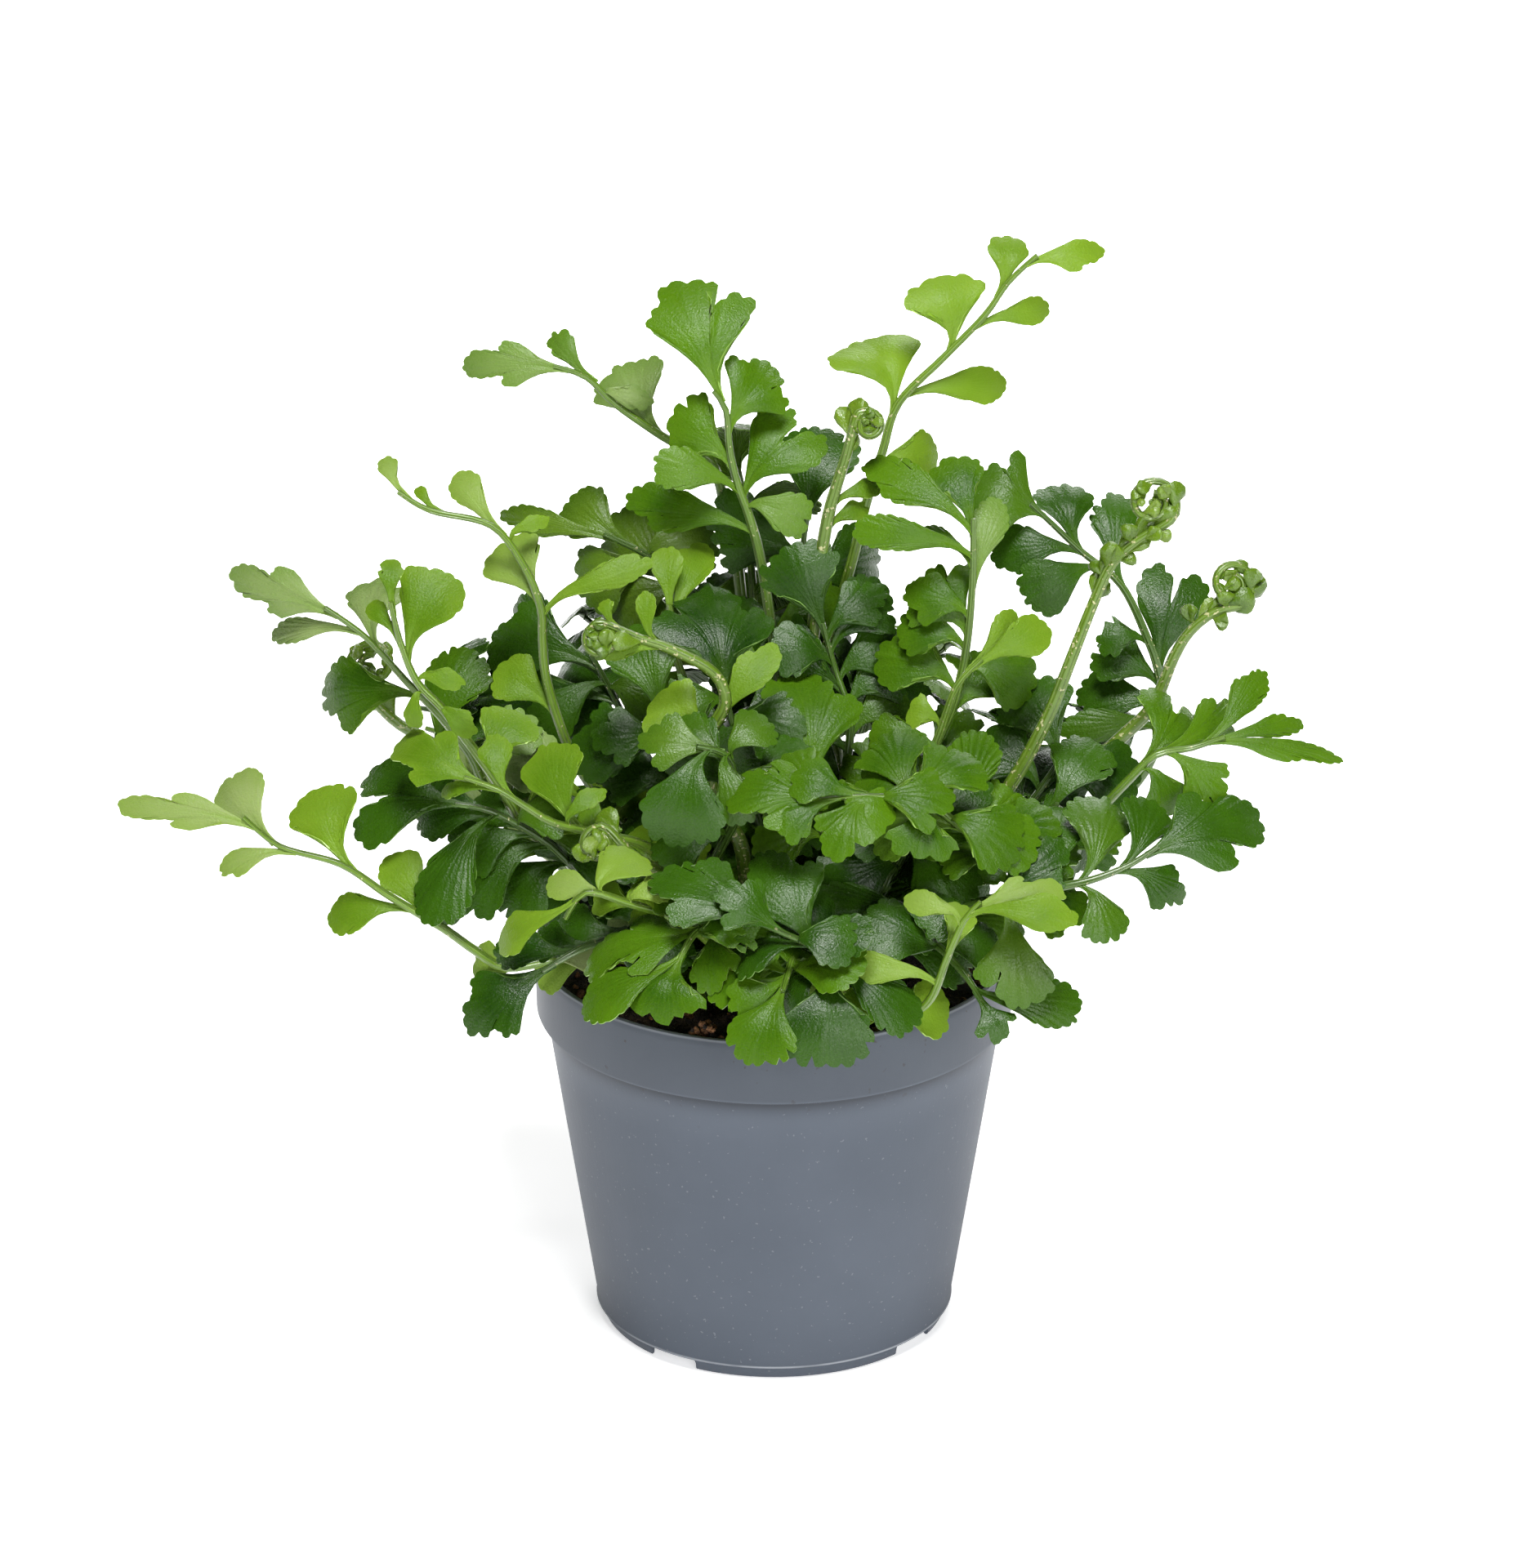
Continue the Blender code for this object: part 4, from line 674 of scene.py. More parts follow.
def curl_line(line, radius, side, plane):
    """The line with a crosier's spiral added at its end, in the frond's plane."""
    _, across, up = plane
    here = line[-1][1]
    ahead = here - line[-2][1]
    heading = math.atan2(ahead.dot(up), ahead.dot(across))
    place = line[-1][0]
    added = []
    for k in range(CURL_STEPS):
        heading += side * CURL_STEP
        bend = radius * (1 - CURL_CLOSING * k / CURL_STEPS)
        step = bend * 2 * math.sin(CURL_STEP / 2)
        here = here + (across * math.cos(heading) + up * math.sin(heading)) * step
        added.append((place + (k + 1) / CURL_STEPS, here))
    return line + added


def on_line(line, at):
    """The point of a line at a place."""
    for (a, p), (b, q) in zip(line, line[1:]):
        if at <= b:
            return p.lerp(q, (at - a) / (b - a))
    return line[-1][1]


def line_run(line, at):
    """The way a line runs at a place, as a short step along it."""
    return on_line(line, at + RUN_STEP) - on_line(line, at - RUN_STEP)


def stem_radius(place, last_place, thick, thin):
    """A stem's radius at a place: thick at its foot and thin at its tip."""
    return thick + (thin - thick) * min(1, max(0, place) / last_place)


def square_to(path, side):
    """Each point of a path, with the two directions square to the path there."""
    for k, here in enumerate(path):
        ahead = (path[min(k + 1, len(path) - 1)] - path[max(k - 1, 0)]).normalized()
        side = (side - ahead * side.dot(ahead)).normalized()
        yield here, side, side.cross(ahead)


def solid_corners(line, normal, tip_radius):
    """The corners of the three-sided solid stem round a line."""
    path = [point for _, point in line]
    corners = []
    for (place, _), (here, side, top) in zip(line, square_to(path, (path[1] - path[0]).cross(normal))):
        radius = stem_radius(place, line[-1][0], STEM_RADIUS, tip_radius)
        for j in range(SOLID_SIDES):
            angle = 2 * math.pi * j / SOLID_SIDES
            corners.append(here + (side * math.cos(angle) + top * math.sin(angle)) * radius)
    return corners


def leaf_height(across, along, leaf, pleat_depth=PLEAT_DEPTH):
    """How far a leaf's surface lies off its plane: it droops to the tip, rolls and is pleated."""
    length, width = leaf["length"], leaf["width"]
    drooped = length * leaf["droop"] * along * along
    rolled = LEAF_ROLL * width * across * across
    bearing = np.arctan2(across * width, np.maximum(along * length, 0.1))
    pleat = np.sin(PLEAT_COUNT * bearing + leaf["phase"])
    return drooped - rolled + pleat_depth * width * pleat * along


def leaf_axes(plane, bearing, twist, pitch):
    """A leaf's side, its direction along and the way it faces."""
    normal, across, up = plane
    angle = math.radians(bearing)
    along = across * math.sin(angle) + up * math.cos(angle)
    side = along.cross(normal)
    turn = Euler((math.radians(pitch), math.radians(twist), 0)).to_matrix()
    return [side * c.x + along * c.y + normal * c.z for c in turn.col]


def sheet_edge(leaf):
    """The edge of a leaf's plain sheet, in the middle of its thickness."""
    side, along, normal = leaf["axes"]
    blade = leaf["length"] - STALK_LENGTH
    return [leaf["base"] + side * x * leaf["width"] + along * (STALK_LENGTH + y * blade)
            + normal * float(leaf_height(x, y, leaf)) for x, y in leaf["outline"]]


def solid_edge(leaf):
    """The corners on both faces of the solid leaf's edge."""
    half = leaf["axes"][2] * SOLID_THICKNESS / 2
    return [middle + shift for middle in sheet_edge(leaf) for shift in (half, -half)]


# Reading the solids

def corners_of(node):
    """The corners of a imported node, in millimetres."""
    return [v.co / MM for v in node.data.vertices]


def corner_tree(node):
    """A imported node's corners, ready for nearest-point searches, and the middle of its stem's foot."""
    corners = corners_of(node)
    tree = KDTree(len(corners))
    for k, corner in enumerate(corners):
        tree.insert(corner, k)
    tree.balance()
    low = [c for c in corners if c.z < STEM_SINK + SEAT_GAP + FOOT_SLACK]
    return tree, sum(low, Vector()) / len(low)


def share_found(corners, tree):
    """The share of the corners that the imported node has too."""
    return sum(tree.find(corner)[2] < MATCH for corner in corners) / len(corners)


def fitted_line(frond, tree, root):
    """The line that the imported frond's stem takes."""
    best_share, best_line = -1, None
    tip_radius = CROSIER_TIP if frond["curl"] else TIP_RADIUS
    for depth_shift, knee_shift in itertools.product(DEPTH_SHIFTS, KNEE_SHIFTS):
        line = stem_line(root, frond["points"], knee_shift, depth_shift)
        if frond["curl"]:
            line = curl_line(line, *frond["curl"], frond["plane"])
        share = share_found(solid_corners(line, frond["plane"][0], tip_radius), tree)
        if share > best_share:
            best_share, best_line = share, line
        if share > SURE_SHARE:
            break
    return best_line


def turned_leaf(leaf, plane, twist, pitch, size):
    """A leaf turned and resized out of the place where it grew."""
    (length, width), (own_twist, own_pitch) = leaf["whole"], leaf["own"]
    return dict(leaf, length=length * size, width=width * size, turned=(twist, pitch, size),
                axes=leaf_axes(plane, leaf["bearing"], own_twist + twist, own_pitch + pitch))


def grown(chance):
    """A leaf's own droop and the place where its pleats start."""
    return {"droop": chance.uniform(DROOP_MOST, DROOP_LEAST), "phase": chance.uniform(0, 2 * math.pi)}


def fitted_leaves(frond, tree):
    """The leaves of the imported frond, each as the solid one stands."""
    chance = random.Random(frond["name"])
    longer, wider = TONES[frond["tone"]]
    ats = [leaf[0] for leaf in frond["leaves"]]
    found = []
    for k, (at, outline, bearing, length, width) in enumerate(frond["leaves"]):
        sunk_at = at - LEAF_SINK * (1 + ats[:k].count(at))
        leaf = {"at": sunk_at, "outline": outline, "bearing": bearing}
        leaf["base"] = on_line(frond["line"], sunk_at)
        if outline == BEAD:
            found.append(dict(leaf, length=length * longer, width=width * wider))
            continue
        leaf.update(grown(chance), whole=(length * longer, width * wider))
        leaf["own"] = chance.uniform(-OWN_TWIST, OWN_TWIST), chance.uniform(-OWN_PITCH, OWN_PITCH)
        tries = [turned_leaf(leaf, frond["plane"], *turned) for turned in LEAF_TRIES]
        shares = [share_found(solid_edge(tried), tree) for tried in tries]
        if max(shares) > LIKELY_SHARE:
            found.append(tries[shares.index(max(shares))])
    return found


def boxed_tree(corners, faces):
    """Faces as a tree to test for crossings, with the corners of their box."""
    low = [min(c[k] for c in corners) for k in range(3)]
    high = [max(c[k] for c in corners) for k in range(3)]
    return low, high, BVHTree.FromPolygons(corners, faces)


def sheet_tree(leaf):
    """A leaf's plain sheet, for testing what it crosses."""
    corners = [leaf["base"] + leaf["axes"][1] * STALK_LENGTH] + sheet_edge(leaf)
    return boxed_tree(corners, [(0, k, k + 1) for k in range(1, len(corners) - 1)])


def solid_trees(nodes):
    """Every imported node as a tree, for testing what crosses it."""
    found = {}
    for name, node in nodes.items():
        faces = [tuple(p.vertices) for p in node.data.polygons]
        found[name.removeprefix("frond_")] = boxed_tree(corners_of(node), faces)
    return found


def crosses(sheet, others):
    """Whether a sheet meets any of the others."""
    low, high, tree = sheet
    for other_low, other_high, other in others:
        near = all(low[k] <= other_high[k] and other_low[k] <= high[k] for k in range(3))
        if near and tree.overlap(other):
            return True
    return False


def turn_back(fronds, solids):
    """Leaves that the thick solids had to turn aside go back as far as thin ones have room."""
    moved = []
    for frond in fronds:
        others = [tree for name, tree in solids.items() if name != frond["name"]]
        leaves = frond["leaves_found"]
        own = {k: sheet_tree(leaf) for k, leaf in enumerate(leaves) if leaf["outline"] != BEAD}
        for k, leaf in enumerate(leaves):
            twist, pitch, size = leaf.get("turned", (0, 0, 1))
            if not (twist or pitch or size < 1):
                continue
            rest = [sheet for j, sheet in own.items() if j != k]
            for share in BACK_SHARES:
                shrink = 1 + (size - 1) * share
                tried = turned_leaf(leaf, frond["plane"], twist * share, pitch * share, shrink)
                sheet = sheet_tree(tried)
                if not any(crosses(sheet, trees) for trees in (rest, others, moved)):
                    leaves[k], own[k] = tried, sheet
                    moved.append(sheet)
                    break
    return moved


def grow_leaflet(frond, at, size, bearings, shape, sheets):
    """One more leaflet on a stem, on the first bearing where it crosses none of the sheets around it."""
    leaf = dict(shape, at=at, base=on_line(frond["line"], at), outline=FAN)
    length, width = size
    own, _, added = sheets
    for bearing, (twist, pitch, shrink) in itertools.product(bearings, LEAF_TRIES):
        tried = dict(leaf, bearing=bearing, length=length * shrink, width=width * shrink,
                     axes=leaf_axes(frond["plane"], bearing, twist, pitch))
        sheet = sheet_tree(tried)
        if not any(crosses(sheet, trees) for trees in sheets):
            frond["leaves_found"].append(tried)
            own.append(sheet)
            added.append(sheet)
            return


def add_leaflets(fronds, solids, added):
    """More leaflets than the solids have, each where it crosses nothing, most of them low on the stems."""
    sheets = {}
    for frond in fronds:
        name = frond["name"]
        others = [tree for other, tree in solids.items() if other != name]
        own = [sheet_tree(leaf) for leaf in frond["leaves_found"] if leaf["outline"] != BEAD]
        sheets[name] = own, others, added
        chance = random.Random(name + " by hand")
        for at, bearing, *size in PLACED_LEAFLETS.get(name, ()):
            bearings = bearing, bearing + PLACED_SWING, bearing - PLACED_SWING
            grow_leaflet(frond, at, size, bearings, grown(chance), sheets[name])
    for frond in fronds:
        if frond["curl"]:
            continue
        chance = random.Random(frond["name"] + " more")
        at, step, size, top = MORE_LEAFLETS[frond["tone"]]
        hand = chance.choice((-1, 1))
        while at < frond["line"][-1][0] - MORE_END and on_line(frond["line"], at).z < top:
            shape = grown(chance)
            far_out = on_line(frond["line"], at).xy.length > MORE_REACH
            bearings = [side * hand * chance.uniform(low, high) for side, low, high in MORE_BEARINGS]
            length = size * chance.uniform(*MORE_LENGTHS)
            width = length * chance.uniform(*MORE_WIDTHS)
            if frond["name"].startswith("rear") or not far_out:
                grow_leaflet(frond, at, (length, width), bearings, shape, sheets[frond["name"]])
            at += step * chance.uniform(*MORE_STEPS)
            hand = -hand


def rear_frond(azimuth, reach, height):
    """The points and leaves of an arching frond that leans out of the crown."""
    angle = math.radians(azimuth)
    out = Vector((math.sin(angle), -math.cos(angle), 0))
    rise = height - POT_HEIGHT
    points = [out * reach * far + Vector((0, 0, POT_HEIGHT + rise * high)) for far, high in REAR_ARCH]
    leaves = [(at, FAN, bearing, length, length * REAR_WIDTH) for at, bearing, length in REAR_LEAVES]
    return points, [(len(points), LOBED, 0, REAR_TIP, REAR_TIP * REAR_WIDTH)] + leaves


def all_fronds():
    """Every frond as named values, the listed ones first."""
    rows = list(FRONDS)
    for k, (azimuth, reach, height, tone) in enumerate(REAR_FRONDS):
        lean = REAR_LEAN if height < TALL else TALL_LEAN
        rows.append((f"rear_{k + 1}", tone, azimuth, lean, *rear_frond(azimuth, reach, height)))
    return [{"name": name, "tone": tone, "plane": facing(turn, lean), "points": points, "leaves": leaves,
             "curl": curl} for name, tone, turn, lean, points, leaves, *curl in rows]


# Making pieces

def deselect():
    """Leaves edit mode and selects nothing."""
    if bpy.context.object and bpy.context.object.mode != "OBJECT":
        bpy.ops.object.mode_set(mode="OBJECT")
    bpy.ops.object.select_all(action="DESELECT")


def pick(thing):
    """Makes a piece the only selected one and the active one."""
    deselect()
    thing.select_set(True)
    bpy.context.view_layer.objects.active = thing


def linked(thing):
    """Puts an object in the scene."""
    bpy.context.scene.collection.objects.link(thing)
    return thing


def copied(thing):
    """A copy of a piece, with its own mesh."""
    made = thing.copy()
    made.data = thing.data.copy()
    return linked(made)


def placed(thing):
    """Takes a piece's place, turn and size into its mesh."""
    pick(thing)
    bpy.ops.object.transform_apply(location=True, rotation=True, scale=True)
    return thing


def finish_modifier(thing, kind, **values):
    """Gives a piece a modifier and applies it."""
    modifier = thing.modifiers.new(kind.lower(), kind)
    for name, value in values.items():
        setattr(modifier, name, value)
    pick(thing)
    bpy.ops.object.modifier_apply(modifier=modifier.name)


def joined(name, things):
    """One piece out of several."""
    pick(things[0])
    for thing in things:
        thing.select_set(True)
    if len(things) > 1:
        bpy.ops.object.join()
    things[0].name = name
    things[0].data.name = name
    return things[0]


def finished(thing, *materials):
    """Gives a piece its materials, in place of any that it has."""
    thing.data.materials.clear()
    for material in materials:
        thing.data.materials.append(material)
    return thing


def smooth(thing, angle):
    """Shades a piece smooth but for the edges sharper than an angle."""
    pick(thing)
    bpy.ops.object.shade_smooth_by_angle(angle=math.radians(angle))
    return thing


def face_out(thing):
    """Turns all the faces of a closed piece outwards."""
    pick(thing)
    bpy.ops.object.mode_set(mode="EDIT")
    bpy.ops.mesh.select_all(action="SELECT")
    bpy.ops.mesh.normals_make_consistent(inside=False)
    bpy.ops.object.mode_set(mode="OBJECT")
    return thing


def mesh_piece(name, points, faces, uvs):
    """A piece out of points in millimetres, faces and one pair of pattern coordinates a point."""
    mesh = bpy.data.meshes.new(name)
    mesh.from_pydata([tuple(c * MM for c in p) for p in points], [], faces)
    layer = mesh.uv_layers.new(name="UVMap")
    corners = np.zeros(len(mesh.loops), np.int32)
    mesh.loops.foreach_get("vertex_index", corners)
    layer.uv.foreach_set("vector", np.array(uvs, np.float32)[corners].ravel())
    return linked(bpy.data.objects.new(name, mesh))


def ring_faces(rings, sides):
    """The faces of a tube of rings, closed at both ends."""
    faces = []
    for a in range(0, (rings - 1) * sides, sides):
        b = a + sides
        faces += [(a + j, a + (j + 1) % sides, b + (j + 1) % sides, b + j) for j in range(sides)]
    faces.append(tuple(reversed(range(sides))))
    faces.append(tuple(range((rings - 1) * sides, rings * sides)))
    return faces


# Materials

class Finish:
    """A material's nodes, made one by one."""

    def __init__(self, name, roughness):
        self.material = bpy.data.materials.new(name)
        self.material.use_nodes = True
        self.tree = self.material.node_tree
        self.shader = self.tree.nodes["Principled BSDF"]
        self.give("Roughness", roughness)
        self.place = self.node("ShaderNodeTexCoord").outputs["Object"]

    def node(self, kind, **values):
        made = self.tree.nodes.new(kind)
        for name, value in values.items():
            setattr(made, name, value)
        return made

    def feed(self, socket, value):
        """Links a socket to another node's, or sets it to a plain value."""
        if isinstance(value, bpy.types.NodeSocket):
            self.tree.links.new(value, socket)
        else:
            socket.default_value = value

    def give(self, name, value):
        self.feed(self.shader.inputs[name], value)

    def noise(self, scale, detail=3.0, place=None, rough=0.55):
        """Noise from 0 to 1, on the object's own coordinates unless a place is given."""
        made = self.node("ShaderNodeTexNoise")
        made.inputs["Scale"].default_value = scale
        made.inputs["Detail"].default_value = detail
        made.inputs["Roughness"].default_value = rough
        self.feed(made.inputs["Vector"], place or self.place)
        return made.outputs["Fac"]

    def work(self, operation, *values):
        """What a Math node makes of one or two values."""
        made = self.node("ShaderNodeMath", operation=operation)
        for socket, value in zip(made.inputs, values):
            self.feed(socket, value)
        return made.outputs["Value"]

    def plus(self, a, b):
        return self.work("ADD", a, b)

    def times(self, a, b):
        return self.work("MULTIPLY", a, b)

    def ranged(self, value, low, high, to_low=0.0, to_high=1.0):
        """A value between low and high as one between two others, and held there outside them."""
        made = self.node("ShaderNodeMapRange")
        for name, given in (("Value", value), ("From Min", low), ("From Max", high), ("To Min", to_low),
                            ("To Max", to_high)):
            self.feed(made.inputs[name], given)
        return made.outputs["Result"]

    def mix(self, share, first, second):
        made = self.node("ShaderNodeMix", data_type="RGBA")
        self.feed(made.inputs["Factor"], share)
        for name, value in (("A", first), ("B", second)):
            socket = [s for s in made.inputs if s.name == name and s.type == "RGBA"][0]
            self.feed(socket, value if isinstance(value, bpy.types.NodeSocket) else (*value, 1.0))
        return [s for s in made.outputs if s.type == "RGBA"][0]

    def coats(self, colour, *coats):
        """A colour under others, each laid over it by its share."""
        for share, coat in coats:
            colour = self.mix(share, colour, coat)
        return colour

    def bump(self, height, distance, strength=1.0):
        """Small relief, as deep as distance in metres."""
        made = self.node("ShaderNodeBump")
        made.inputs["Strength"].default_value = strength
        made.inputs["Distance"].default_value = distance
        self.feed(made.inputs["Height"], height)
        self.give("Normal", made.outputs["Normal"])

    def parts(self, place):
        """The X, Y and Z of a place."""
        split = self.node("ShaderNodeSeparateXYZ")
        self.feed(split.inputs["Vector"], place)
        return split.outputs

    def pattern_place(self):
        """The piece's own pattern coordinates, as two numbers."""
        parts = self.parts(self.node("ShaderNodeUVMap", uv_map="UVMap").outputs["UV"])
        return parts["X"], parts["Y"]

    def tint(self):
        """How much paler than its kind a leaf is."""
        return self.node("ShaderNodeAttribute", attribute_name="tint").outputs["Fac"]


def vein_lines(finish, across, along):
    """Fine veins that fan out from the stalk and fork on their way to the edge."""
    wander = finish.ranged(finish.noise(160.0, 2.0), 0.3, 0.7, -0.012, 0.012)
    shifted = finish.plus(across, wander)
    lines = 0.0
    for count, start in VEIN_FORKS:
        saw = finish.work("PINGPONG", finish.times(shifted, count), 0.5)
        thin = finish.ranged(saw, 0.02, 0.2, 1.0, 0.0)
        shown = finish.times(thin, finish.ranged(along, start, start + VEIN_GROWTH))
        lines = finish.work("MAXIMUM", lines, shown)
    return lines


def leaf_finish(name, dark, light, pale, stalk, roughness, gloss, glow):
    """A leaf's upper face: its green by leaf and by patch, paler veins and stalk end, a tip made paler partly
    by painted light shining through it, and a waxy gloss.
    """
    finish = Finish(name, roughness)
    across, along = finish.pattern_place()
    tint = finish.tint()
    veins = vein_lines(finish, across, along)
    grain = finish.noise(1700.0)
    worn = finish.noise(330.0, 4.0, rough=0.7)
    patches = finish.ranged(finish.noise(55.0, 2.0), 0.35, 0.65, -0.12, 0.3)
    share = finish.ranged(finish.plus(finish.times(tint, 0.75), patches), 0.0, 1.0)
    finish.give("Base Color", finish.coats(
        finish.mix(share, dark, light),
        # The palest leaves take the pale green: partly their own paler green, partly a painted whitish haze
        # and sheen
        (finish.ranged(tint, *PALE_TINTS), pale),
        (finish.ranged(grain, 0.4, 0.7, 0.0, 0.14), light),
        (finish.times(veins, 0.1), stalk),
        (finish.ranged(along, 0.0, 0.4, 0.6, 0.0), stalk),
        # Paler towards the tip: partly the margin's own paler green, partly painted light shining through the
        # thin margin
        (finish.ranged(along, 0.72, 1.0, 0.0, 0.42), light)))
    finish.give("Roughness", finish.ranged(worn, 0.32, 0.68, roughness - 0.05, roughness + 0.1))
    finish.give("Specular IOR Level", gloss)
    finish.give("Subsurface Weight", glow)
    finish.give("Subsurface Radius", GLOW_REACH)
    finish.give("Subsurface Scale", GLOW_SCALE)
    relief = finish.plus(finish.times(veins, -0.05), finish.times(grain, 0.9))
    finish.bump(finish.plus(relief, finish.times(worn, 0.5)), LEAF_RELIEF)
    return finish.material


def underside_finish(name, colour, pale, stalk):
    """A leaf's lower face, a little paler, with raised veins."""
    finish = Finish(name, UNDERSIDE_ROUGHNESS)
    veins = vein_lines(finish, *finish.pattern_place())
    finish.give("Base Color", finish.coats(
        colour,
        (finish.ranged(finish.noise(70.0, 2.0), 0.35, 0.65, 0.0, 0.5), stalk),
        (finish.ranged(finish.tint(), *PALE_TINTS), pale),
        (finish.times(veins, 0.25), stalk)))
    finish.give("Specular IOR Level", UNDERSIDE_GLOSS)
    finish.bump(finish.plus(veins, finish.times(finish.noise(1500.0), 0.5)), LEAF_RELIEF)
    return finish.material


def stem_finish(name, low, high, stripe, scaly):
    """A grooved stalk: darker at its foot, with pale lengthwise stripes and a few pale scales."""
    finish = Finish(name, STEM_ROUGHNESS)
    around, along = finish.pattern_place()
    stripes = finish.work("PINGPONG", finish.times(around, STEM_STRIPES), 0.5)
    stripes = finish.ranged(stripes, 0.05, 0.28, 1.0, 0.0)
    scales = finish.ranged(finish.noise(900.0, 1.0), 0.74 - scaly, 0.78 - scaly)
    finish.give("Base Color", finish.coats(
        finish.mix(finish.ranged(along, 0.0, 0.5), low, high),
        (finish.times(stripes, 0.45), stripe),
        (finish.ranged(finish.noise(210.0, 2.0), 0.45, 0.75, 0.0, 0.5), low),
        (finish.times(scales, 0.7), SCALE_COLOUR)))
    finish.give("Coat Weight", STEM_COAT)
    finish.bump(finish.plus(stripes, finish.times(scales, 0.8)), STEM_RELIEF)
    return finish.material


def edge_finish(name, colour):
    """The thin pale edge all round a leaf."""
    finish = Finish(name, EDGE_ROUGHNESS)
    finish.give("Base Color", finish.mix(finish.noise(300.0, 2.0), colour, [c * EDGE_PALER for c in colour]))
    return finish.material


def leaf_finishes():
    """By age, a leaf's finishes above, below and round its edge, and its stem's; last a crosier's own."""
    found = {age: (leaf_finish(age + " leaf", *LEAF_LOOKS[age]),
                   underside_finish(age + " leaf underside", *UNDERSIDE_GREENS[age]),
                   edge_finish(age + " leaf edge", EDGE_GREENS[age]),
                   stem_finish(age + " stem", *STEM_LOOKS[age])) for age in TONES}
    found["rolled"] = (stem_finish("crosier stem", *STEM_LOOKS["rolled"]),
                       leaf_finish("rolled leaflet", *LEAF_LOOKS["rolled"]))
    return found


def plastic_finish():
    """Blue-grey moulded plastic: satin, slightly clouded, with pale specks, a few specks of dirt, painted
    shade on the rim band and in a line under it, and a painted highlight along the rim's top edge.
    """
    low, high = PLASTIC_ROUGHNESS
    finish = Finish("pot plastic", low)
    height = finish.parts(finish.place)["Z"]
    clouds = finish.ranged(finish.noise(26.0, 4.0), 0.3, 0.7)
    specks = finish.ranged(finish.noise(900.0, 1.0), 0.72, 0.75)
    from_seam = finish.work("ABSOLUTE", finish.work("SUBTRACT", height, (FOOT_HEIGHT + 0.2) * MM))
    seam = finish.times(finish.ranged(from_seam, 0.0001, 0.00035, 1.0, 0.0),
                        finish.ranged(finish.noise(70.0, 2.0), 0.3, 0.6, 0.2, 0.7))
    from_band = finish.work("SUBTRACT", height, (POT_HEIGHT - RIM_BAND) * MM)
    # Painted shade: darker in a line just under the rim band, fading downwards
    under_band_shade = finish.times(finish.ranged(from_band, -0.0075, -0.0012),
                              finish.ranged(from_band, 0.0001, 0.0004, 1.0, 0.0))
    # Painted highlight: a pale line along the rim's top edge, where the top light catches it
    lip_highlight = finish.ranged(height, (POT_HEIGHT - 0.9) * MM, (POT_HEIGHT - 0.4) * MM)
    dirt = finish.times(finish.ranged(finish.noise(330.0, 2.0), 0.7, 0.73),
                        finish.ranged(height, 0.07, 0.1))
    finish.give("Base Color", finish.coats(
        finish.mix(clouds, *PLASTIC_GREYS),
        (finish.times(specks, 0.3), SPECK_GREY),
        (seam, SEAM_GREY),
        # Painted shade of the foliage: the rim band darker than the body below it
        (finish.ranged(from_band, 0.0002, 0.0012), finish.mix(clouds, *BAND_SHADE_GREYS)),
        (finish.times(finish.work("POWER", under_band_shade, 2.5), 0.7), SHADE_GREY),
        (finish.times(lip_highlight, 0.45), LIP_HIGHLIGHT_GREY),
        (finish.times(dirt, 0.6), DIRT_BROWN)))
    finish.give("Roughness", finish.ranged(clouds, 0.0, 1.0, low, high))
    finish.give("Specular IOR Level", PLASTIC_GLOSS)
    scuffs = finish.node("ShaderNodeMapping")
    finish.feed(scuffs.inputs["Vector"], finish.place)
    scuffs.inputs["Scale"].default_value = SCUFF_STRETCH
    rub = finish.noise(700.0, 2.0, scuffs.outputs["Vector"])
    finish.bump(finish.plus(finish.noise(1800.0), rub), PLASTIC_RELIEF, 0.6)
    return finish.material


def peat_finish(name, dark, light):
    """Crumbly peat: near black in its hollows and lighter on its crumbs."""
    finish = Finish(name, PEAT_ROUGHNESS)
    crumbs = finish.noise(420.0, 5.0, rough=0.7)
    finish.give("Base Color", finish.mix(finish.ranged(crumbs, 0.42, 0.68), dark, light))
    finish.bump(finish.plus(crumbs, finish.noise(1500.0)), PEAT_RELIEF)
    return finish.material


# Pot and soil

def wall_radius(height):
    """The pot body's outer radius below the rim band, on its straight slope."""
    share = (height - FOOT_HEIGHT) / (POT_HEIGHT - RIM_BAND - FOOT_HEIGHT)
    return BODY_FOOT_RADIUS + (RIM_RADIUS - RIM_STEP - BODY_FOOT_RADIUS) * share


def turned_piece(name, rings, sides):
    """A closed piece raised ring by ring from a filled disc, each ring as (radius, height)."""
    deselect()
    first_radius, first_height = rings[0]
    bpy.ops.mesh.primitive_circle_add(vertices=sides, radius=first_radius * MM, fill_type="NGON",
                                      location=(0, 0, first_height * MM))
    thing = placed(bpy.context.object)
    thing.name = name
    bpy.ops.object.mode_set(mode="EDIT")
    bpy.ops.mesh.select_mode(type="EDGE")
    bpy.ops.mesh.select_all(action="SELECT")
    bpy.ops.mesh.region_to_loop()
    for (radius, height), (next_radius, next_height) in zip(rings, rings[1:]):
        step = (0, 0, (next_height - height) * MM)
        bpy.ops.mesh.extrude_edges_move(TRANSFORM_OT_translate={"value": step})
        share = next_radius / radius
        bpy.ops.transform.resize(value=(share, share, 1), center_override=(0, 0, next_height * MM))
    bpy.ops.mesh.edge_face_add()
    return face_out(thing)


